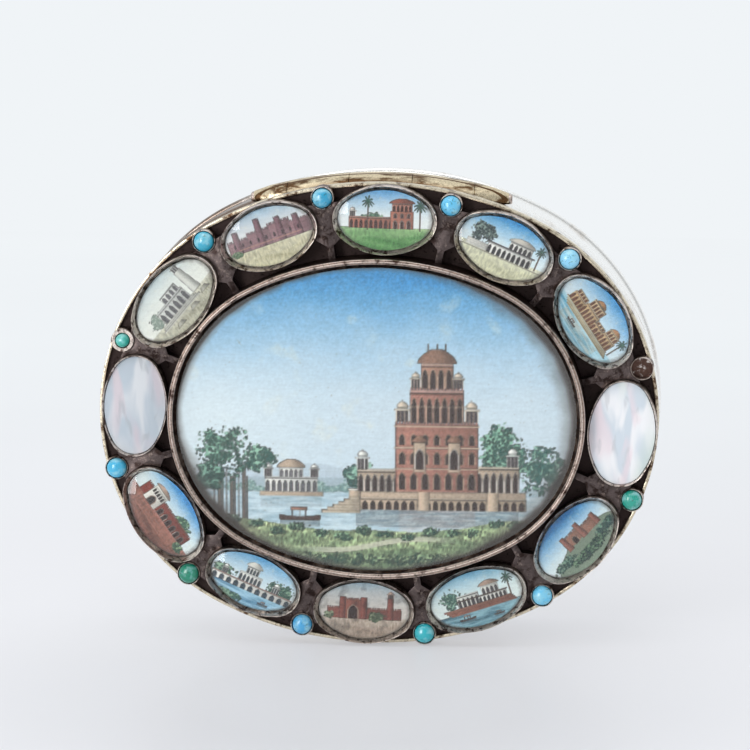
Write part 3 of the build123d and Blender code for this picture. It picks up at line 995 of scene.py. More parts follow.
class PAANBOX_OT_hinge(bpy.types.Operator):
    """Adds the hinge: five barrel-shaped knuckles in one line, and the pin's riveted heads"""

    bl_idname = "paanbox.hinge"
    bl_label = "Hinge"

    def execute(self, context):
        hinge = values()[1]
        body_spans, lid_spans = knuckle_spans()
        finish = knuckle_gilding()
        for name, spans, body, node in (
            ("gilt_body_knuckles", body_spans, "box", "body_knuckles"),
            ("gilt_lid_knuckles", lid_spans, "lid", "lid_knuckles"),
        ):
            knuckles = barrel(name, spans, bore=PIN_BORE)
            bpy.ops.object.mode_set(mode="EDIT")
            bpy.ops.mesh.select_all(action="SELECT")
            flat = pin_place() - Vector((0, 0, hinge.inner_cut))
            bpy.ops.mesh.bisect(plane_co=flat, plane_no=(0, 0, 1), use_fill=True, clear_inner=True)
            close_up(knuckles, smooth=30)
            hand_over(knuckles, body, finish, node)
        end, radius = -hinge.half_length - PIN_END, hinge.pin_radius
        head = [
            (0, end),
            (radius - 0.25 * MM, end),
            (radius - 0.02 * MM, end + PIN_END / 2),
            (radius, end + PIN_END),
        ]
        section = head + [(reach, -along) for reach, along in reversed(head)]
        pin = close_up(turn("riveted_pin", section, 32, ACROSS, pin_place()))
        hand_over(pin, "box", wire_silver(), "hinge_pin")
        return {"FINISHED"}


# ---- Lid ---------------------------------------------------------------------------------------------


class PAANBOX_OT_lid_shell(bpy.types.Operator):
    """Adds the lid's shell: its side wall, the raised rim and the plate that carries the settings"""

    bl_idname = "paanbox.lid_shell"
    bl_label = "Lid shell"

    def execute(self, context):
        shell, hinge, _, _ = values()
        back = shell.plate + 1 * MM
        band = close_up(sweep("lid_wall", lid_oval(), wall_section(back)))
        cut_for_hinge(band, knuckle_spans()[0])
        cut_away(band, barrel("relief_cutter", [RELIEF_SPAN], growth=hinge.relief))
        hand_over(band, "lid", wall_silver(), "lid_band")

        crest = shell.plate - shell.rim_rise
        section = [
            (shell.rim_width, back),
            (0, back),
            (0, crest + 0.14 * MM),
            (0.05 * MM, crest + 0.04 * MM),
            (0.16 * MM, crest),
            (shell.rim_width - 0.16 * MM, crest),
            (shell.rim_width - 0.05 * MM, crest + 0.04 * MM),
            (shell.rim_width, crest + 0.14 * MM),
            (shell.rim_width, back),
        ]
        rim = close_up(sweep("gilt_rim", lid_oval(), section))
        hand_over(rim, "lid", rim_metal(), "lid_rim")
        wear("lid_plate", recess_metal())
        return {"FINISHED"}


class PAANBOX_OT_centre_setting(bpy.types.Operator):
    """Adds the tall centre collet, the grooved wire round its mouth and its domed glass"""

    bl_idname = "paanbox.centre_setting"
    bl_label = "Centre setting"

    def execute(self, context):
        shell, _, settings, _ = values()
        outer, inner = settings.centre_inset, settings.centre_inset + settings.centre_wall
        front = shell.plate - settings.centre_height
        section = [
            (outer, shell.plate),
            (outer, front),
            (inner - 0.5 * MM, front),
            (inner - 0.42 * MM, front + 0.3 * MM),
            (inner - 0.15 * MM, front + 0.65 * MM),
            (inner, front + 0.8 * MM),
            (inner, shell.plate),
            (outer, shell.plate),
        ]
        collet = close_up(sweep("centre_bezel", lid_oval(), section))
        hand_over(collet, "lid", bezel_silver(), "centre_collet")

        section = [(outer + inset * MM, front - rise * MM) for inset, rise in WIRE_RIDGES]
        wire = close_up(sweep("grooved_wire", lid_oval(), section, steps=60), smooth=60)
        hand_over(wire, "lid", wire_silver(), "centre_wire")

        wear("centre_card", packing_card())
        glass = domed_disc("centre_crystal", lid_oval(inner), shell.plate, CENTRE_GLASS, rings=18)
        hand_over(glass, "lid", clear_glass(), "centre_glass")
        return {"FINISHED"}


class PAANBOX_OT_small_settings(bpy.types.Operator):
    """Adds the twelve small collets and the domed glasses of the ten that hold miniatures"""

    bl_idname = "paanbox.small_settings"
    bl_label = "Small settings"

    def execute(self, context):
        settings = values()[2]
        front = -settings.height
        lip = [(0, 0), (0, front + 0.22 * MM), (0.04 * MM, front + 0.07 * MM), (0.13 * MM, front)]
        splayed = lip + [
            (0.24 * MM, front + 0.02 * MM),
            (0.31 * MM, front + 0.14 * MM),
            (settings.wall, front + 1.1 * MM),
            (settings.wall, 0),
            (0, 0),
        ]
        thin = lip + [
            (0.25 * MM, front + 0.04 * MM),
            (0.36 * MM, front + 0.2 * MM),
            (PEARL_WALL, front + 0.5 * MM),
            (PEARL_WALL, 0),
            (0, 0),
        ]
        metal, glass_finish = collet_silver("worn_collet_silver", settings.height, 0.9 * MM), clear_glass()
        for number, place in enumerate(setting_places()):
            station = f"{number + 1:02d}"
            pearl = number in PEARL_STATIONS
            section = thin if pearl else splayed
            collet = close_up(sweep(f"silver_collet_{station}", setting_oval(number, 0), section, steps=16))
            settle(collet, place)
            roughen(collet, strength=0.13 * MM, lump=2.6 * MM, seed=number)
            roughen(collet, strength=0.06 * MM, lump=0.8 * MM, seed=20 + number)
            hand_over(collet, "lid", metal, f"collet_{station}")
            if not pearl:
                outline = setting_oval(number, settings.wall)
                crystal = domed_disc(f"crystal_{station}", outline, 0, SMALL_GLASS, rings=20, steps=24)
                settle(crystal, place)
                hand_over(crystal, "lid", glass_finish, f"glass_{station}")
        return {"FINISHED"}


class PAANBOX_OT_pearls(bpy.types.Operator):
    """Adds the two mother-of-pearl plaques at the ends of the lid"""

    bl_idname = "paanbox.pearls"
    bl_label = "Pearl plaques"

    def execute(self, context):
        places = setting_places()
        # The plaque at the right is tinted lighter than the one at the left.
        tints = (("bright_mother_of_pearl", "#FCFBFC"), ("darker_mother_of_pearl", "#DADCDF"))
        for number, (name, tint) in zip(PEARL_STATIONS, tints):
            station = f"{number + 1:02d}"
            outline = setting_oval(number, PEARL_WALL)
            plaque = domed_disc(f"nacre_{station}", outline, 0, PEARL, rings=10, steps=16)
            settle(plaque, places[number])
            hand_over(plaque, "lid", nacre(name, tint), f"pearl_{station}")
        return {"FINISHED"}


class PAANBOX_OT_turquoises(bpy.types.Operator):
    """Adds the twelve turquoise cups and eleven stones. One cup has lost its stone"""

    bl_idname = "paanbox.turquoises"
    bl_label = "Turquoises"

    def execute(self, context):
        settings = values()[2]
        outside, top = settings.cup_radius, -CUP_HEIGHT
        cups, stones = [], []
        cup_metal = collet_silver("worn_cup_silver", CUP_HEIGHT, 0.35 * MM)
        for number, (place, tone) in enumerate(zip(cup_places(), STONE_COLOURS)):
            bore = SMALL_BORE if number == SMALL_STONE else outside - settings.cup_wall
            section = [
                (0, 0),
                (outside, 0),
                (outside, top + 0.15 * MM),
                (outside - 0.1 * MM, top),
                (bore + 0.08 * MM, top),
                (bore, top + 0.12 * MM),
                (bore, -CUP_FLOOR),
                (0, -CUP_FLOOR),
            ]
            cup = close_up(turn(f"cup_{number}", section, steps=40))
            settle(cup, place)
            roughen(cup, strength=0.08 * MM, lump=1.2 * MM, seed=40 + number)
            cups.append(cup)
            if tone is NO_STONE:
                continue
            turns = [pi / 2 * share for share in shares(8)]
            curve = [(bore * cos(angle), -GIRDLE - STONE_CROWN * sin(angle)) for angle in turns]
            bed = -CUP_FLOOR - 0.02 * MM
            stone = turn(f"stone_{number}", [(0, bed), (bore, bed), *curve], steps=40)
            close_up(stone, smooth=60)
            settle(stone, place)
            roughen(stone, strength=0.12 * MM, lump=1.6 * MM, seed=70 + number)
            tint = stone.data.color_attributes.new("stone", "FLOAT_COLOR", "POINT")
            tint.data.foreach_set("color", list(linear(tone)) * len(stone.data.vertices))
            stones.append(stone)
        hand_over(join("silver_cups", cups), "lid", cup_metal, "turquoise_cups")
        hand_over(join("cabochons", stones), "lid", turquoise(), "turquoise_stones")
        return {"FINISHED"}


class PAANBOX_OT_gallery(bpy.types.Operator):
    """Adds the struts and webs between the settings, with their edges softened"""

    bl_idname = "paanbox.gallery"
    bl_label = "Gallery"

    def execute(self, context):
        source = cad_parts["gallery_webs"]
        choose(source)
        bpy.ops.object.duplicate(linked=False)
        webs = bpy.context.active_object
        webs.name = webs.data.name = "gallery_struts"
        bpy.ops.object.mode_set(mode="EDIT")
        bpy.ops.mesh.select_all(action="SELECT")
        bpy.ops.mesh.remove_doubles(threshold=0.004 * MM)
        bpy.ops.mesh.dissolve_limited(angle_limit=radians(2))
        bpy.ops.object.mode_set(mode="OBJECT")
        apply_modifier(
            webs, "BEVEL", width=0.3 * MM, segments=3, limit_method="ANGLE", angle_limit=radians(25)
        )
        bpy.ops.object.shade_smooth_by_angle(angle=radians(SMOOTH_ANGLE))
        hand_over(webs, "lid", gallery_metal(), "gallery_webs")
        return {"FINISHED"}


# ---- Miniatures --------------------------------------------------------------------------------------
# The views are invented: gardens, walls, halls and water, built up in layers as a miniaturist would.


def ease(value):
    """0 to 1, eased at both ends."""
    value = np.clip(value, 0, 1)
    return value * value * (3 - 2 * value)


def grain(x, y, size, seed):
    """Smooth noise from 0 to 1 with lumps of this size, on a lattice turned so that it doesn't show."""
    x, y = (0.8 * x + 0.6 * y) / size + 17.3 * seed, (0.8 * y - 0.6 * x) / size - 9.1 * seed
    column, row = np.floor(x), np.floor(y)
    across, up = ease(x - column), ease(y - row)

    def corner(i, j):
        value = np.sin((column + i) * 127.1 + (row + j) * 311.7 + seed * 74.7) * 43758.5453
        return value - np.floor(value)

    low = corner(0, 0) * (1 - across) + corner(1, 0) * across
    high = corner(0, 1) * (1 - across) + corner(1, 1) * across
    return low * (1 - up) + high * up


def lumps(x, y, size, seed):
    """Noise of two sizes together."""
    return 0.65 * grain(x, y, size, seed) + 0.35 * grain(x, y, size / 2.3, seed + 5)


class Picture:
    """Paint at points of a plaque, in millimetres right of and above its middle, laid on in order."""

    def __init__(self, x, y, blur):
        self.x, self.y, self.blur = x, y, blur
        self.paint = np.ones((len(x), 3))

    def lay(self, tone, cover):
        """Paints over what is there, by the share that the cover gives."""
        tone = srgb(tone) if isinstance(tone, str) else tone
        self.paint += (tone - self.paint) * np.clip(cover, 0, 1)[:, None]

    def inside(self, distance):
        """1 inside a form and 0 outside it, from how far outside its edge each point is."""
        return np.clip(0.5 - distance / self.blur, 0, 1)

    def glaze(self, shade, cover):
        """Darkens, or lightens, what is already there."""
        self.paint *= 1 + (shade - 1) * np.clip(cover, 0, 1)[:, None]

    def block_cover(self, left, right, low, high):
        """What a rectangle covers."""
        x, y = self.x, self.y
        return self.inside(np.maximum.reduce([left - x, x - right, low - y, y - high]))

    def block(self, tone, left, right, low, high, course=0.0, seed=1):
        """A wall lit from the left, with courses of masonry if course isn't 0, and a thin outline."""
        x, y = self.x, self.y
        cover = self.block_cover(left, right, low, high)
        lit = 1.1 - 0.22 * np.clip((x - left) / (right - left), 0, 1) - 0.1 * lumps(x, y, 0.7, seed)
        self.lay(srgb(tone) * lit[:, None], cover)
        if course:
            row = np.floor(y / course)
            bed = np.abs(y / course - row - 0.5) > 0.38
            joint = np.abs((x / (course * 2.1) + 0.5 * row) % 1 - 0.5) > 0.44
            self.glaze(0.86, cover * (bed | joint) * (0.4 + 0.6 * grain(x, y, 0.8, seed + 2)))
        blur = self.blur
        self.glaze(0.72, cover - self.block_cover(left + blur, right - blur, low, high - blur))

    def line(self, tone, left, right, low, high, strength=1.0):
        """A plain band of paint."""
        self.lay(tone, strength * self.block_cover(left, right, low, high))

    def shape(self, tone, middle, low, high, width_at, roundness=0.35):
        """A form about an upright axis. width_at gives its half width from its foot, 0, to its top, 1."""
        x, y = self.x, self.y
        up = np.clip((y - low) / (high - low), 0, 1)
        width = np.maximum(width_at(up), 1e-3)
        distance = np.maximum.reduce([np.abs(x - middle) - width, low - y, y - high])
        cover = self.inside(distance)
        side = np.clip((x - middle) / width, -1, 1)
        lit = 1.08 - roundness * ease((side + 0.35) / 1.35) - 0.12 * ease((-side - 0.6) / 0.4)
        self.lay(srgb(tone) * lit[:, None], cover)
        self.glaze(0.75, self.inside(np.abs(distance) - self.blur * 0.4) * (cover > 0))

    def opening(self, tone, middle, half, low, spring, peak, trim=None):
        """A pointed arch, dark inside, with a lighter moulding round it if trim isn't None."""
        x, y = self.x - middle, self.y
        for grow, fill in ((0.16 * half + self.blur, trim), (0.0, tone)):
            if fill is None:
                continue
            rise = np.clip((y - spring) / (peak + grow - spring), 0, 1)
            width = (half + grow) * (1 - rise**1.7) ** 0.75
            distance = np.maximum.reduce([np.abs(x) - width, low - y, y - peak - grow])
            self.lay(fill, self.inside(distance))
        # Light still reaches the right-hand jamb.
        jamb = np.maximum.reduce([np.abs(x - 0.8 * half) - 0.13 * half, low - y, y - spring])
        self.glaze(1.5, self.inside(jamb))

    def dome(self, tone, middle, radius, low, height):
        """A slightly swelling dome on a low drum, with a finial."""

        def swell(up):
            return radius * (0.86 + 0.5 * up * (1 - up)) * (1 - up**2.2) ** 0.62

        def finial(up):
            return radius * (0.1 - 0.08 * up)

        foot = low + 0.14 * height
        self.block(tone, middle - 0.82 * radius, middle + 0.82 * radius, low, foot)
        self.shape(tone, middle, foot, low + 0.86 * height, swell)
        self.shape(tone, middle, low + 0.84 * height, low + height, finial, roundness=0.1)

    def kiosk(self, tone, middle, half, low, height, dark="#4A3E44"):
        """A small domed kiosk on thin columns."""
        top = low + 0.52 * height
        self.block(dark, middle - 0.8 * half, middle + 0.8 * half, low, top)
        for at in (-0.85, -0.3, 0.3, 0.85):
            column = middle + at * half
            self.line(tone, column - 0.1 * half, column + 0.1 * half, low, top)
        self.block(tone, middle - 1.15 * half, middle + 1.15 * half, top, top + 0.09 * height)
        self.dome(tone, middle, 0.82 * half, top + 0.09 * height, 0.39 * height)

    def arcade(self, tone, left, right, low, high, count, dark, course=0.0, trim=None):
        """A wall with a row of arches and a cornice."""
        self.block(tone, left, right, low, high, course)
        bay = (right - left) / count
        tall = high - low
        for number in range(count):
            middle = left + (number + 0.5) * bay
            self.opening(dark, middle, 0.3 * bay, low, low + 0.42 * tall, low + 0.74 * tall, trim)
        self.line("#FFFFFF", left - 0.02 * tall, right + 0.02 * tall, high - 0.1 * tall, high, 0.25)
        self.glaze(0.62, self.block_cover(left, right, high - 0.15 * tall, high - 0.1 * tall))

    def battlements(self, tone, left, right, low, step, tall):
        """A row of teeth this far apart."""
        teeth = self.block_cover(left, right, low, low + tall) * (((self.x - left) / step) % 1 < 0.62)
        self.lay(srgb(tone) * 0.95, teeth)

    def rampart(self, tone, left, right, low, high, step, tall, course=0.2):
        """A wall with battlements."""
        self.block(tone, left, right, low, high, course)
        self.battlements(tone, left, right, high, step, tall)

    def foliage(self, middle, low, half, tall, dark, light, seed, leaf=0.22):
        """A bush or the crown of a tree, in small dabs that thin out at its edge."""
        x, y = self.x, self.y
        across, up = (x - middle) / half, (y - low - tall / 2) / (tall / 2)
        room = 1.3 - across**2 - up**2 - 1.25 * lumps(x, y, 0.4 * half + 0.4, seed)
        cover = ease((room * 1.9 - 1.2 * grain(x, y, leaf, seed + 1) + 0.5) / 0.35)
        glow = 0.34 + 0.3 * up - 0.22 * across + 1.2 * (lumps(x, y, 0.25 * half, seed + 3) - 0.5)
        glow = np.clip(glow + 2.2 * (grain(x, y, leaf * 0.9, seed + 2) - 0.5), 0, 1) ** 1.3
        tone = srgb(dark) + (srgb(light) - srgb(dark)) * glow[:, None]
        self.lay(tone, cover * 0.92)

    def palm(self, middle, low, high, reach=1.0):
        """A palm: a thin trunk and drooping fronds."""
        across = self.x - middle
        self.line("#5E4A3C", middle - 0.08, middle + 0.08, low, high)
        up = self.y - high + 0.5 * across**2 / reach
        frond = np.cos(4.5 * np.arctan2(up, across)) ** 2
        self.lay("#2E5A4A", 0.9 * self.inside(np.hypot(across, up) - reach * (0.2 + 0.8 * frond)))

    def roof(self, tone, middle, half, low, high):
        """A roof with bowed eaves."""
        self.shape(tone, middle, low, high, lambda up: half * np.cos(1.35 * up) ** 0.8)

    def boat(self, middle, low, half):
        """A boat with an awning, and its shadow in the water."""
        across = np.abs(self.x - middle)
        self.glaze(0.75, self.block_cover(middle - half, middle + half, low - 0.3 * half, low))
        edge = low + 0.18 * half + 0.09 * across**2 / half
        hull = np.maximum.reduce([across - half - 1.6 * (self.y - low - 0.1), self.y - edge, low - self.y])
        self.lay("#4E3830", self.inside(np.maximum(hull, across - 1.04 * half)))
        awning = low + 0.52 * half
        self.block("#B4806A", middle - 0.45 * half, middle + 0.35 * half, awning, low + 0.66 * half)
        for at in (-0.4, 0.0, 0.3):
            post = middle + at * half
            self.line("#4E3830", post - 0.05, post + 0.05, low, awning)

    def sky(self, top, low, horizon, reach):
        """Washes that pale fast below the top, with fine level streaks and faint cream stains."""
        x, y = self.x, self.y
        height = np.clip((y - horizon) / (reach - horizon), 0, 1)
        patchy = height + 0.1 * (lumps(x, y * 1.6, 0.25 * reach, 3) - 0.5)
        deep = np.clip(patchy, 0, 1) ** 2.1
        self.paint[:] = srgb(low) + (srgb(top) - srgb(low)) * deep[:, None]
        self.paint *= (0.985 + 0.03 * grain(x * 0.12, y, 0.2, 9))[:, None]
        stains = ease((lumps(x, y, 0.16 * reach, 21) - 0.68) / 0.2) * lumps(x, y, 0.5, 22)
        self.lay("#E9E4D6", 0.45 * stains)

    def ground(self, near, far, horizon, low, bite=0.26):
        """Ground in level rows of short upright strokes, darker towards the front."""
        x, y = self.x, self.y
        depth = np.clip((horizon - y) / (horizon - low), 0, 1)
        rows = grain(x * 0.16, y, 0.45, 4)
        strokes = grain(x, y * 0.35, 0.17, 5)
        tone = srgb(far) + (srgb(near) - srgb(far)) * ease(0.6 * depth + 0.5 * rows)[:, None]
        self.lay(tone * (1 + bite * (strokes - 0.5))[:, None], self.inside(y - horizon))

    def water(self, left, right, low, high, tone, dark):
        """Still water with level ripples."""
        ripples = lumps(self.x * 0.4, self.y * 3.5, 0.9, 6)
        mixed = srgb(tone) + (srgb(dark) - srgb(tone)) * ease(ripples * 1.3 - 0.25)[:, None]
        self.lay(mixed, self.block_cover(left, right, low, high))


def lake_view(p):
    """The large miniature: a stepped brick palace beside a lake, an island hall and spreading trees."""
    x, y = p.x, p.y
    brick, tan, pale, dark = "#B2796A", "#C9B09A", "#EAE6E2", "#33211E"
    p.sky("#3F92CC", "#D3DFEA", -1.0, 21.5)
    p.lay("#E6EDF2", 0.55 * ease((-x - 4) / 22) * ease((12 - y) / 12))

    # Hills and woods on the far shore.
    for tone, base, rise, seed in (("#BCC8D4", -10.6, 4.6, 11), ("#A3B3BE", -10.6, 2.6, 12)):
        ridge = base + rise * grain(x * 0.5 + 3, x * 0, 5.0, seed) * (0.55 + 0.45 * np.tanh(-x / 12))
        p.lay(tone, 0.8 * p.inside(y - ridge) * (0.75 + 0.25 * lumps(x, y, 0.5, seed)))
    for number in range(17):
        middle, tall = -28 + 2.1 * number, 1.3 + (number * 7 % 5) * 0.3
        p.foliage(middle, -11.5, 1.7, tall, "#6F918F", "#A9C3BC", 20 + number, leaf=0.24)
    p.water(-31, 31, -19, -11.2, "#D3E1EA", "#9FB9C9")

    # The island hall, low and white, and what shows of it in the water.
    p.glaze(0.86, p.block_cover(-17.4, -8.2, -13.6, -11.6) * lumps(x * 0.4, y * 3, 0.5, 31))
    p.block(tan, -17.6, -8.0, -11.9, -11.2, course=0.3)
    p.arcade(pale, -16.8, -8.8, -11.2, -8.9, 9, "#5D5A60")
    p.arcade(pale, -14.6, -11.0, -8.9, -7.5, 5, "#6A666C")
    p.roof("#B9A08C", -12.8, 2.1, -7.5, -6.3)
    for middle in (-16.3, -9.3):
        p.kiosk(pale, middle, 0.7, -8.9, 2.0)

    # Trees behind the palace.
    p.foliage(-2.6, -11.2, 3.0, 5.2, "#25504A", "#93C0A8", 41, leaf=0.3)
    p.foliage(19.2, -11.4, 4.6, 11.6, "#1D4A42", "#8CBFA2", 42, leaf=0.3)
    p.foliage(24.4, -12.0, 4.2, 8.4, "#23504A", "#84B29A", 43, leaf=0.3)

    # The palace, storey on storey: tan terraces, brick halls, roofs with kiosks.
    p.glaze(0.74, p.block_cover(-3.0, 21.5, -16.4, -13.6) * ease(lumps(x * 0.3, y * 2.6, 0.5, 32) * 1.6))
    p.lay("#A98074", 0.35 * p.block_cover(3.5, 15.0, -17.4, -13.6) * lumps(x * 0.3, y * 2.6, 0.5, 33))
    p.block(tan, -3.4, 22.6, -13.8, -11.0, course=0.34, seed=34)
    p.arcade(tan, -3.4, 22.6, -13.8, -12.0, 22, dark, 0.3)
    for middle in (-3.2, 7.2, 17.6):
        p.shape(tan, middle, -13.9, -10.6, lambda up: 0.95 - 0.12 * up)
        p.line(pale, middle - 1.0, middle + 1.0, -10.9, -10.7)
    p.arcade(tan, -2.8, 3.6, -11.0, -7.6, 6, dark, 0.3, pale)
    p.arcade(tan, 15.0, 21.6, -11.0, -7.0, 6, dark, 0.3, pale)
    p.kiosk(pale, -2.0, 0.95, -7.6, 3.0)
    p.kiosk(pale, 20.6, 0.95, -7.0, 3.0)
    p.block(brick, 3.0, 15.4, -11.0, -0.6, course=0.28, seed=35)
    for number in range(7):
        middle = 3.95 + 1.75 * number
        p.opening(dark, middle, 0.42, -10.6, -9.0, -8.2, tan)
        p.opening(dark, middle, 0.38, -6.8, -5.7, -5.0, tan)
        p.opening(dark, middle, 0.34, -3.8, -2.9, -2.3, tan)
    for high in (-7.6, -4.4, -1.1):
        p.line(tan, 2.8, 15.6, high, high + 0.25)
    p.battlements(brick, 3.0, 15.4, -0.6, 0.5, 0.42)
    p.arcade(brick, 5.2, 13.2, -0.4, 4.6, 7, dark, 0.28, tan)
    p.line(tan, 4.9, 13.5, 1.9, 2.1)
    p.battlements(brick, 5.2, 13.2, 4.6, 0.45, 0.36)
    p.arcade("#B98974", 6.8, 11.6, 4.8, 8.6, 4, dark, 0.28, tan)
    p.roof("#8F6A58", 9.2, 2.9, 8.6, 10.7)
    for middle in (7.9, 9.2, 10.5):
        p.line("#6A4E40", middle - 0.07, middle + 0.07, 10.2, 11.5)
    for middle, low, half in ((4.0, -0.3, 1.05), (14.4, -0.3, 1.05), (6.0, 4.9, 0.78), (12.4, 4.9, 0.78)):
        p.kiosk("#DCC9B6", middle, half, low, 3.1 * half)
    for middle in (6.6, 11.8):
        p.block(tan, middle - 0.95, middle + 0.95, -8.0, -3.4, seed=36)
        p.opening(dark, middle, 0.55, -7.5, -5.6, -4.6, pale)
        p.roof("#8F6A58", middle, 1.2, -3.4, -2.4)

    # Steps down to the lake, and a boat with an awning.
    for step in range(6):
        p.block("#CDB9A4", -8.2 + 0.85 * step, -2.4, -14.4 + 0.42 * step, -13.9 + 0.42 * step, course=0.4)
    p.boat(-11.5, -15.6, 3.0)

    # A banyan on the near shore at the left, with hanging roots.
    for root in range(9):
        left = -24.6 + 0.62 * root
        p.line("#5A4A42", left, left + (0.14, 0.5, 0.2)[root % 3], -15.8, -9.0 + 0.4 * (root % 4), 0.85)
    p.foliage(-22.4, -9.8, 5.6, 8.6, "#1B4239", "#86B99E", 51, leaf=0.3)
    p.foliage(-17.8, -8.8, 3.2, 4.8, "#1F4A42", "#9AC8AE", 52, leaf=0.3)
    p.foliage(-25.6, -11.4, 3.6, 4.6, "#1B3E38", "#76A690", 53, leaf=0.3)

    # The near bank: rows of grass, a path, shrubs and loose stones.
    bank = y + 17.4 - 1.6 * ease((-x - 6) / 14) - 1.9 * ease((x - 8) / 14) - 0.5 * lumps(x, x * 0, 1.6, 61)
    grass = Picture(x, y, p.blur)
    grass.ground("#5F7458", "#CBD8A4", -14, -24, bite=0.7)
    p.lay(grass.paint, p.inside(bank))
    path = np.abs(y + 19.2 - 0.09 * x - 0.4 * np.sin(x / 3)) - 0.42
    p.lay("#D6CDBE", 0.75 * p.inside(path) * ease((14 - np.abs(x)) / 8))
    for number in range(14):
        middle = -21.5 + 3.3 * number
        low = -17.9 + 1.5 * ease(np.array((abs(middle) - 7) / 14)) - 0.5 * (number % 3)
        p.foliage(middle, low, 1.5 + 0.4 * (number % 2), 1.7, "#1D4038", "#98C098", 70 + number)
    for number in range(15):
        p.foliage(-17.5 + 2.4 * number, -22.6, 2.0, 2.2, "#2A453C", "#A6BE92", 90 + number, leaf=0.24)


def fort_on_river(p):
    p.sky("#8FB7D6", "#E9E4E4", -0.4, 5)
    p.ground("#B9AF8E", "#DAD3BC", -0.7, -5)
    for left, right, high in ((-6.4, -3.0, 0.7), (-3.2, 0.4, 1.2), (0.2, 3.6, 1.6), (3.4, 6.8, 1.0)):
        p.rampart("#9A747A", left, right, -1.2, high, 0.32, 0.24, 0.22)
    for middle, high in ((-4.9, 1.9), (-1.2, 2.9), (1.9, 2.3), (4.6, 1.8)):
        p.shape("#7E5A62", middle, -1.2, high, lambda up: 0.55 - 0.12 * up)
        p.battlements("#7E5A62", middle - 0.45, middle + 0.45, high, 0.22, 0.2)
    for number in range(9):
        p.opening("#3E2A2E", -5.4 + 1.25 * number, 0.14, -0.3, 0.1, 0.3)
    p.line("#B98A7C", -5.0, 5.0, -0.8, -0.6, 0.7)
    p.foliage(-5.6, -1.8, 1.3, 1.0, "#4C6A4A", "#9DB48C", 5)


def red_halls_and_palms(p):
    p.sky("#4E98D4", "#EDEFF0", -0.6, 4.6)
    p.ground("#4F8448", "#A8C48E", -1.2, -4)
    p.foliage(-1.5, -1.4, 2.6, 2.6, "#3A5A4A", "#8FB58A", 2)
    p.arcade("#B5705C", -5.4, 1.2, -1.3, 0.4, 9, "#3F1E1A", 0.2)
    p.block("#B5705C", 0.8, 4.2, -1.3, 1.3, course=0.2)
    p.arcade("#C08472", 1.0, 4.0, 1.3, 2.5, 5, "#3F1E1A")
    p.roof("#8E5244", 2.5, 1.9, 2.5, 3.2)
    for middle in (1.5, 2.5, 3.5):
        p.opening("#3F1E1A", middle, 0.24, -1.3, -0.5, -0.1, "#E8D8CC")
        p.opening("#3F1E1A", middle, 0.18, 0.3, 0.7, 0.95, "#E8D8CC")
    p.kiosk("#E6DAD2", -4.9, 0.5, 0.4, 1.4)
    p.palm(5.2, -1.6, 2.2)
    p.palm(-2.6, -1.6, 2.7, 0.9)


def white_mansion(p):
    p.sky("#2F8ED2", "#E4EDF2", -1.0, 4.2)
    p.ground("#C9C4A4", "#E6E2CC", -1.1, -4)
    p.foliage(-3.6, -1.0, 2.4, 3.6, "#2A3638", "#8A9A90", 6)
    p.arcade("#EFEBE6", -2.4, 4.6, -1.5, 0.1, 9, "#231D20")
    p.arcade("#E8E3DD", 0.6, 4.2, 0.1, 1.4, 5, "#2F282C")
    p.roof("#C8BEB4", 2.4, 2.1, 1.4, 2.2)
    p.line("#3A3438", -2.7, 4.9, 0.04, 0.16)
    p.block("#E2DCD6", -5.6, -2.4, -1.5, -0.5, course=0.3)
    p.palm(5.4, -1.4, 1.6, 0.8)
    p.line("#8A8478", -6.5, 6.5, -1.75, -1.6, 0.7)


def tan_river_front(p):
    p.sky("#3C90D0", "#DCE9F2", -0.8, 4.4)
    p.water(-8, 8, -6, -1.2, "#BFE0EC", "#4F9CC0")
    houses = ((-5.2, -2.6, 1.1, 4), (-2.7, 0.4, 2.2, 5), (0.3, 2.4, 0.7, 3), (2.3, 4.8, 1.6, 4))
    for left, right, high, count in houses:
        p.arcade("#D2AE84", left, right, -1.0, high * 0.4, count, "#6A3E2A", 0.25)
        p.arcade("#DDBE98", left + 0.2, right - 0.2, high * 0.4, high, count, "#6A3E2A")
    for middle, low in ((-1.2, 2.2), (3.5, 1.6)):
        p.roof("#B0805A", middle, 0.9, low, low + 0.6)
    for step in range(4):
        p.block("#CDB48E", -5.4 + 0.3 * step, 5.0 + 0.2 * step, -1.2 - 0.24 * step, -1.0 - 0.24 * step)
    p.lay("#B98A64", 0.45 * p.block_cover(-4.0, 4.0, -3.6, -2.1) * lumps(p.x * 0.5, p.y * 4, 0.5, 2))
    p.boat(-1.6, -3.0, 0.9)
    p.palm(5.4, -1.2, 1.6, 0.8)


def hill_fort(p):
    p.sky("#2F86CC", "#E6F0F4", -1.4, 3.6)
    hill = p.y - (0.3 - 0.05 * (p.x - 1.5) ** 2 + 0.35 * lumps(p.x, p.y, 1.2, 3))
    p.lay("#7C8A78", p.inside(hill))
    p.foliage(-4.0, -2.6, 3.0, 2.2, "#1F3F3C", "#7FA08A", 14)
    p.foliage(4.6, -2.8, 2.6, 2.0, "#1F3F3C", "#6F9480", 15)
    for left, right, low, high in ((-1.6, 1.4, -0.4, 1.2), (1.2, 4.2, -0.7, 0.8)):
        p.rampart("#A0705E", left, right, low, high, 0.3, 0.22)
    for middle, high in ((-1.6, 1.7), (1.4, 1.9), (4.2, 1.2)):
        p.shape("#8E5C50", middle, -0.7, high, lambda up: 0.5 - 0.14 * up)
    p.opening("#2A1612", -0.1, 0.4, -0.5, 0.1, 0.6, "#C8A890")
    p.foliage(0.0, -3.6, 5.0, 1.9, "#1B342F", "#6F8F6E", 16)


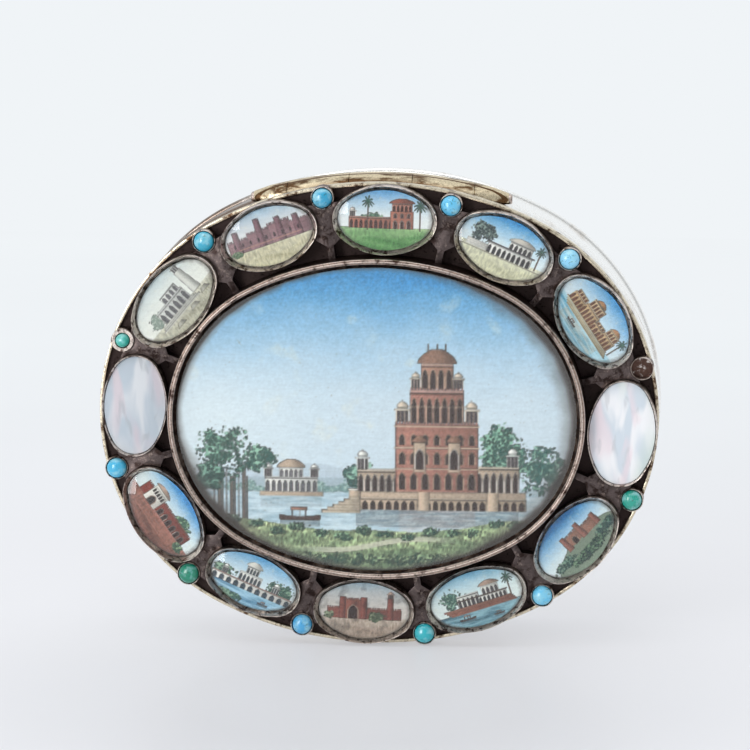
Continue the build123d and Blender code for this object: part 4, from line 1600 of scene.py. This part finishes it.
def river_houses(p):
    p.sky("#5AA3CC", "#E6EEEE", -0.4, 4.4)
    p.foliage(-3.6, -1.0, 2.2, 3.6, "#2A5248", "#93B8A2", 17)
    p.arcade("#E2DED8", -3.0, 0.4, -0.9, 1.0, 5, "#3A3438")
    p.arcade("#EAE6E0", 0.2, 4.6, -0.9, 0.2, 7, "#3A3438")
    p.arcade("#E2DED8", 1.0, 3.6, 0.2, 1.5, 4, "#4A4448")
    p.roof("#A88A7A", 2.3, 1.6, 1.5, 2.2)
    p.line("#5A3E34", -3.2, 4.8, 0.1, 0.22)
    p.water(-8, 8, -6, -1.7, "#8FB7C4", "#2F5A6C")
    for step in range(4):
        p.block("#98604F", -5.4 + 0.3 * step, 5.2 + 0.2 * step, -1.1 - 0.25 * step, -0.85 - 0.25 * step)
    p.boat(-2.2, -2.9, 1.2)
    p.boat(2.6, -3.3, 0.8)
    p.palm(5.2, -1.0, 1.8, 0.9)


def red_gatehouse(p):
    p.sky("#8FA9BC", "#D2C8C2", -0.6, 4.6)
    p.ground("#9A8476", "#CDBDAE", -1.2, -4)
    p.rampart("#8C4E44", -5.6, 5.6, -1.4, 0.1, 0.34, 0.24, 0.22)
    p.rampart("#9A5A4C", -3.1, -0.3, -1.4, 1.5, 0.3, 0.24, 0.22)
    p.opening("#2E1612", -1.7, 0.7, -1.4, -0.3, 0.6, "#C8A894")
    for middle in (-3.3, -0.1, 3.9):
        p.shape("#7E443A", middle, -1.4, 1.9, lambda up: 0.5 - 0.05 * up)
    p.kiosk("#BA9684", 3.9, 0.5, 1.9, 1.1)
    p.foliage(-5.4, -1.9, 1.4, 1.5, "#3C4F38", "#96A684", 18)
    p.foliage(2.0, -2.0, 1.8, 2.0, "#3C4F38", "#8C9C7A", 19)
    p.glaze(0.8, ease((lumps(p.x, p.y, 1.1, 5) - 0.5) / 0.3))


def pavilion_on_bridge(p):
    p.sky("#3E92D0", "#E2ECF2", -1.0, 4.2)
    p.foliage(-4.6, -1.4, 2.2, 2.4, "#234A3E", "#86A98A", 25)
    p.foliage(4.4, -1.4, 2.4, 3.2, "#234A3E", "#86A98A", 26)
    p.water(-8, 8, -6, -1.2, "#A6CBE0", "#3F7498")
    p.arcade("#E4E0DA", -6.5, 6.5, -1.8, -0.6, 11, "#34404C")
    p.arcade("#F0EDE8", -2.4, 1.2, -0.6, 0.8, 6, "#3A424A")
    p.arcade("#ECE9E4", -1.6, 0.4, 0.8, 1.9, 4, "#3A424A")
    p.roof("#D8D2CA", -0.6, 1.3, 1.9, 2.7)
    p.kiosk("#ECE9E4", 3.6, 0.6, -0.6, 1.7, "#4A525A")
    p.kiosk("#ECE9E4", -4.6, 0.5, -0.6, 1.5, "#4A525A")
    p.line("#9A5648", -6.5, 6.5, -0.72, -0.6, 0.8)
    p.foliage(-3.2, -4.2, 2.6, 1.6, "#234A3E", "#86A98A", 27)
    p.boat(2.6, -3.0, 0.8)


def walled_court(p):
    p.sky("#3A8ED2", "#E6EEF0", 0.2, 3.8)
    p.ground("#6E4034", "#B5796A", -0.9, -4.4)
    p.foliage(2.8, 0.0, 1.9, 2.4, "#2A5240", "#8DB287", 29)
    p.rampart("#8A3E32", -5.4, 5.4, -0.9, 0.9, 0.3, 0.22)
    p.block("#E9E2DA", -4.2, -1.4, -1.1, 1.7)
    p.opening("#2F2624", -2.8, 0.5, -1.1, -0.3, 0.2, "#C2A08E")
    p.arcade("#E9E2DA", -4.0, -1.6, 0.5, 1.4, 5, "#2F2624")
    p.roof("#B89A8A", -2.8, 1.6, 1.7, 2.3)
    for number in range(6):
        p.opening("#2F1612", -0.6 + 1.05 * number, 0.3, -0.9, -0.2, 0.15, "#E2D4C8")
    for number in range(5):
        p.line("#C89A86", -6 + 0.2 * number, 6.5, -1.75 - 0.42 * number, -1.68 - 0.42 * number, 0.8)
    p.foliage(5.4, -2.2, 1.3, 1.6, "#2A5240", "#8DB287", 28)


def grey_colonnade(p):
    p.sky("#CBD8DC", "#EEECE6", -0.4, 4.4)
    p.ground("#A8A28E", "#DAD5C6", -1.3, -4)
    p.foliage(-4.2, -1.4, 1.8, 2.6, "#7C8A80", "#B8C2B4", 29)
    p.arcade("#D6D4D0", -3.6, 2.2, -1.4, 0.7, 6, "#5E5A5E", 0.3)
    p.arcade("#DEDCD8", -1.4, 1.9, 0.7, 1.9, 4, "#6A666A")
    p.shape("#CFCCC6", 3.6, -1.4, 2.6, lambda up: 0.8 - 0.2 * up)
    p.kiosk("#DAD8D4", 3.6, 0.6, 2.6, 1.2, "#6A666A")
    for step in range(3):
        p.block("#CFCBC4", -4.2 - 0.3 * step, 2.6 + 0.4 * step, -1.65 - 0.26 * step, -1.4 - 0.26 * step)
    for middle, low in ((4.4, -2.4), (-2.0, -3.2), (1.4, -3.0)):
        p.shape("#A6A196", middle, low, low + 0.6, lambda up: 0.9 - 0.5 * up)


SMALL_VIEWS = (
    red_halls_and_palms,
    white_mansion,
    tan_river_front,
    None,
    hill_fort,
    river_houses,
    red_gatehouse,
    pavilion_on_bridge,
    walled_court,
    None,
    grey_colonnade,
    fort_on_river,
)


def inside_oval(x, z, oval):
    """Which of the points about the oval's middle lie inside it."""
    half_length, half_width, end_radius, _ = oval
    _, side_radius, side_angle = oval_turns(oval)[0]
    end_x, side_z = half_length - end_radius, side_radius - half_width
    x, z = np.abs(x), np.abs(z)
    at_end = np.arctan2(x - end_x, z) > side_angle
    end = np.hypot(x - end_x, z) < end_radius
    side = np.hypot(x, z + side_z) < side_radius
    return np.where(at_end, end, side)


def painted(x, y, dab, view, half_length, half_width):
    """The colours of a finished view at these points: its paint, ink outlines, stipple, and painted shade
    with dirt along its edge.
    """
    step = 0.4 * dab
    samples = []
    for right, high in ((-step, -step), (-step, step), (step, -step), (step, step)):
        picture = Picture(x + right, y + high, 1.6 * step)
        view(picture)
        samples.append(np.clip(picture.paint, 0, 1))
    paint = sum(samples) / 4
    # Ink where light paint meets dark, and a stipple that is stronger over dark paint.
    tones = [sample @ (0.3, 0.6, 0.1) for sample in samples]
    spread = np.max(tones, axis=0) - np.min(tones, axis=0)
    ink = ease((spread - 0.05) / 0.3) * (0.55 + 0.3 * lumps(x, y, 0.9, 14))
    paint += (srgb("#1E1614") - paint) * (0.62 * ink)[:, None]
    weight = 0.015 + 0.24 * (1 - paint @ (0.3, 0.6, 0.1)) ** 1.5
    paint *= 1 + (weight * (grain(x, y, 1.5 * dab, 15) - 0.5) * 2)[:, None]
    specks = (grain(x, y, 2.4 * dab, 16) > 0.965) * lumps(x, y, 3.0, 17)
    paint += (srgb("#8A7E72") - paint) * (0.6 * specks)[:, None]
    # Painted shade of the bezel's wall, with dirt, along the plaque's edge: wider at the right and low down
    # at the left.
    edge = half_width * (1 - np.hypot(x / half_length, y / half_width))
    side = x / half_length
    reach = 0.03 * half_width * (1 + 1.9 * ease(side) + 1.6 * ease(-side) * ease(-2 * y / half_width))
    ragged = 0.5 * lumps(x, y, 0.12 * half_width, 18)
    # A soft grey-brown haze of painted shade and dirt, then a dark brown band of it at the very edge. Dirt
    # holds its share.
    for tone, spread, cover in (("#4E4642", 1.4, 0.5), ("#2E221C", 0.5, 0.85)):
        dirt = ease(1.3 - edge / (spread * reach) - ragged)
        paint += (srgb(tone) - paint) * (cover * dirt)[:, None]
    return np.clip(paint, 0, 1)


def painted_plaque(name, oval, front, dab, view):
    """A plaque of fine square dabs, cut to the oval, with its view painted on."""
    half_length, half_width, _, middle = oval
    across, up = round(2 * half_length / dab), round(2 * half_width / dab)
    bpy.ops.object.select_all(action="DESELECT")
    bpy.ops.mesh.primitive_grid_add(
        x_subdivisions=across, y_subdivisions=up, size=1, location=(0, front, middle), rotation=(pi / 2, 0, 0)
    )
    plaque = bpy.context.active_object
    plaque.name = plaque.data.name = name
    plaque.scale = (2 * half_length, 2 * half_width, 1)
    bpy.ops.object.transform_apply()
    mesh = plaque.data
    x, _, z = rows_of(mesh, "co").T
    bpy.ops.object.mode_set(mode="EDIT")
    bpy.ops.mesh.select_mode(type="VERT")
    bpy.ops.mesh.select_all(action="DESELECT")
    bpy.ops.object.mode_set(mode="OBJECT")
    mesh.vertices.foreach_set("select", ~inside_oval(x, z - middle, oval))
    bpy.ops.object.mode_set(mode="EDIT")
    bpy.ops.mesh.delete(type="VERT")
    bpy.ops.mesh.select_non_manifold()
    bpy.ops.mesh.extrude_region_move(TRANSFORM_OT_translate={"value": (0, IVORY, 0)})
    bpy.ops.mesh.edge_face_add()
    bpy.ops.object.mode_set(mode="OBJECT")

    x, _, z = rows_of(mesh, "co").T
    size = half_length / MM, half_width / MM
    paint = to_linear(painted(x / MM, (z - middle) / MM, dab / MM, view, *size))
    layer = mesh.color_attributes.new("painting", "FLOAT_COLOR", "POINT")
    layer.data.foreach_set("color", np.column_stack([paint, np.ones(len(paint))]).astype(np.float32).ravel())
    return plaque


class PAANBOX_OT_centre_painting(bpy.types.Operator):
    """Adds the large painted plaque"""

    bl_idname = "paanbox.centre_painting"
    bl_label = "Centre miniature"

    def execute(self, context):
        shell, _, settings, _ = values()
        oval = lid_oval(settings.centre_inset + settings.centre_wall - TUCK)
        dab = 2 * oval[0] / settings.dabs
        plaque = painted_plaque("lake_miniature", oval, shell.plate - CENTRE_FACE, dab, lake_view)
        hand_over(plaque, "lid", painted_ivory(), "centre_ivory")
        return {"FINISHED"}


class PAANBOX_OT_small_paintings(bpy.types.Operator):
    """Adds the ten small painted plaques"""

    bl_idname = "paanbox.small_paintings"
    bl_label = "Small miniatures"

    def execute(self, context):
        finish = painted_ivory()
        shell, _, settings, _ = values()
        half_turn = Matrix.Rotation(pi, 4, "Y")
        for number, (place, view) in enumerate(zip(setting_places(), SMALL_VIEWS)):
            if view is None:
                continue
            station = f"{number + 1:02d}"
            oval = setting_oval(number, settings.wall - TUCK)
            plaque = painted_plaque(f"miniature_{station}", oval, -SMALL_FACE, settings.dab, view)
            below = place.translation.z < shell.width / 2
            settle(plaque, place @ half_turn if below else place)
            hand_over(plaque, "lid", finish, f"ivory_{station}")
        return {"FINISHED"}


# ---- Stage -------------------------------------------------------------------------------------------

IMAGE_SIZE = 750  # pixels, square
LID_CENTRE_PIXEL = (378.4, 413.7)  # where the middle of the lid plate stands in the frame
PIXEL = 0.1514 * MM  # one pixel's width at the lid plate
CAMERA_AZIMUTH = radians(4.5)
CAMERA_ELEVATION = radians(10)
CAMERA_DISTANCE = 700 * MM
SENSOR = 36  # millimetres
LAMPS = (  # name, place, size and power in watts
    ("window_light", (-0.42, -0.68, 0.12), (0.24, 0.55), 3.4),
    ("top_light", (-0.1, -0.35, 0.8), (0.6, 0.6), 1.6),
)


def background_rays(tree):
    """Light Path, and a value that is one for rays from the camera, off a shiny surface or through glass."""
    path = add_node(tree, "LightPath")
    shown = path.outputs["Is Camera Ray"]
    for kind in ("Is Glossy Ray", "Is Transmission Ray"):
        shown = add_node(tree, "Math", {0: shown, 1: path.outputs[kind]}, operation="ADD", use_clamp=True)
    return path, shown


def table_top():
    """White laminate: smooth, faintly clouded and shaded near the box, running into a pale background."""
    colours = values()[3]
    material, tree = start_material("white_laminate")
    place = add_node(tree, "TexCoord").outputs["Object"]
    cloud = add_node(tree, "TexNoise", {"Vector": place, "Scale": 9, "Detail": 3})
    depth = add_node(tree, "SeparateXYZ", {"Vector": place}).outputs["Y"]
    # Near the box the table is in its shade. Off to the sides it isn't.
    away = add_node(tree, "VectorMath", {0: place, 1: (0, -0.045, 0)}, operation="DISTANCE")
    clear = add_node(tree, "MapRange", {"Value": away, "From Min": 0.025, "From Max": 0.07})
    tone = add_node(
        tree, "Mix", {"Factor": clear, "A": colours.floor, "B": colours.table}, data_type="RGBA"
    )
    # The light on the table falls off towards its near edge.
    for nearest, farthest, far_tone in ((-0.09, 0.04, colours.table), (0.05, 0.25, colours.backdrop)):
        reach = add_node(tree, "MapRange", {"Value": depth, "From Min": nearest, "From Max": farthest})
        tone = add_node(tree, "Mix", {"Factor": reach, "A": tone, "B": far_tone}, data_type="RGBA")
    tint = add_node(
        tree, "MapRange", {"Value": cloud, "From Min": 0.3, "From Max": 0.7, "To Min": 0.985, "To Max": 1.01}
    )
    tone = add_node(tree, "Mix", {"Factor": 1, "A": tone, "B": tint}, data_type="RGBA", blend_type="MULTIPLY")
    surface = add_node(tree, "BsdfPrincipled", {"Base Color": tone, "Roughness": 0.35, "IOR": 1.3})
    # To the camera, and in metal and glass, the table is half its own pale colour, so that its shadows
    # stay light, and far behind the box all of it, so that it runs into the background.
    glow = add_node(tree, "Emission", {"Color": tone, "Strength": 1})
    _, shown = background_rays(tree)
    own = add_node(tree, "MapRange", {"Value": depth, "From Min": 0.12, "From Max": 0.42, "To Min": 0.5})
    share = add_node(tree, "Math", {0: shown, 1: own}, operation="MULTIPLY")
    surface = add_node(tree, "MixShader", {"Fac": share, 1: surface, 2: glow})
    add_node(tree, "OutputMaterial", {"Surface": surface})
    return material


def light_room(tree):
    """Lights the room: bright overhead and behind the box, dim behind the camera, with a pale background."""
    way = add_node(tree, "TexCoord").outputs["Generated"]
    way = add_node(tree, "SeparateXYZ", {"Vector": way}).outputs["Y"]
    behind = add_node(tree, "MapRange", {"Value": way, "From Min": -0.9, "From Max": 0.2, "To Min": 0.56})
    room = add_node(tree, "Background", {"Color": linear("#F4F6F8"), "Strength": behind})
    # The camera sees the background at full strength on every side, and metal and glass show it as
    # bright as the room is on that side.
    path, shown = background_rays(tree)
    strength = add_node(tree, "Math", {0: path.outputs["Is Camera Ray"], 1: behind}, operation="MAXIMUM")
    seen = add_node(tree, "Background", {"Color": values()[3].backdrop, "Strength": strength})
    surface = add_node(tree, "MixShader", {"Fac": shown, 1: room, 2: seen})
    add_node(tree, "OutputWorld", {"Surface": surface})


class PAANBOX_OT_stage(bpy.types.Operator):
    """Adds the table, the soft studio light and the camera"""

    bl_idname = "paanbox.stage"
    bl_label = "Stage"

    def execute(self, context):
        shell = values()[0]
        scene = context.scene
        scene.view_settings.view_transform = "Standard"

        bpy.ops.object.select_all(action="DESELECT")
        bpy.ops.mesh.primitive_plane_add(size=1, location=(0, -0.35, 0))
        floor = bpy.context.active_object
        floor.name = "table_top"
        floor.scale = (4, 1.6, 1)
        bpy.ops.object.transform_apply()
        floor.data.materials.append(table_top())

        world = bpy.data.worlds.new("studio")
        scene.world = world
        world.use_nodes = True
        world.node_tree.nodes.clear()
        light_room(world.node_tree)

        for name, place, size, power in LAMPS:
            aim = (Vector((0, 0, shell.width / 2)) - Vector(place)).to_track_quat("-Z", "Y")
            bpy.ops.object.light_add(type="AREA", location=place, rotation=aim.to_euler())
            lamp = bpy.context.active_object
            lamp.name = name
            lamp.data.shape = "RECTANGLE"
            lamp.data.size, lamp.data.size_y = size
            lamp.data.energy = power

        target = Vector((0, shell.plate, shell.width / 2))
        level = cos(CAMERA_ELEVATION)
        sight = Vector((sin(CAMERA_AZIMUTH) * level, -cos(CAMERA_AZIMUTH) * level, sin(CAMERA_ELEVATION)))
        right = Vector((cos(CAMERA_AZIMUTH), sin(CAMERA_AZIMUTH), 0))
        up = right.cross(-sight)
        across, down = LID_CENTRE_PIXEL[0] - IMAGE_SIZE / 2, LID_CENTRE_PIXEL[1] - IMAGE_SIZE / 2
        aim = target - right * across * PIXEL + up * down * PIXEL
        place = target + sight * CAMERA_DISTANCE
        bpy.ops.object.camera_add(location=place, rotation=(aim - place).to_track_quat("-Z", "Y").to_euler())
        camera = bpy.context.active_object
        camera.data.sensor_width = SENSOR
        camera.data.lens = SENSOR * CAMERA_DISTANCE / (IMAGE_SIZE * PIXEL)
        camera.data.clip_start = 0.01
        scene.camera = camera
        return {"FINISHED"}


# ---- Panel and registration --------------------------------------------------------------------------

OPERATORS = (
    PAANBOX_OT_body,
    PAANBOX_OT_hinge,
    PAANBOX_OT_lid_shell,
    PAANBOX_OT_centre_setting,
    PAANBOX_OT_centre_painting,
    PAANBOX_OT_small_settings,
    PAANBOX_OT_small_paintings,
    PAANBOX_OT_pearls,
    PAANBOX_OT_turquoises,
    PAANBOX_OT_gallery,
    PAANBOX_OT_stage,
)


class PAANBOX_PT_panel(bpy.types.Panel):
    """Lists the box's pieces and their values"""

    bl_label = "Paan Box"
    bl_space_type = "VIEW_3D"
    bl_region_type = "UI"
    bl_category = "Paan Box"

    def draw(self, context):
        for operator in OPERATORS:
            self.layout.operator(operator.bl_idname)
        for name, group in GROUPS:
            box = self.layout.box()
            for value in group.__annotations__:
                box.prop(getattr(context.scene, name), value)


def register():
    for _, group in GROUPS:
        bpy.utils.register_class(group)
    for operator in OPERATORS:
        bpy.utils.register_class(operator)
    bpy.utils.register_class(PAANBOX_PT_panel)
    for name, group in GROUPS:
        setattr(bpy.types.Scene, name, bpy.props.PointerProperty(type=group))


def unregister():
    for name, _ in GROUPS:
        delattr(bpy.types.Scene, name)
    bpy.utils.unregister_class(PAANBOX_PT_panel)
    for operator in reversed(OPERATORS):
        bpy.utils.unregister_class(operator)
    for _, group in reversed(GROUPS):
        bpy.utils.unregister_class(group)


def main():
    register()
    for operator in OPERATORS:
        group, name = operator.bl_idname.split(".")
        getattr(getattr(bpy.ops, group), name)()


if __name__ == "__main__":
    main()
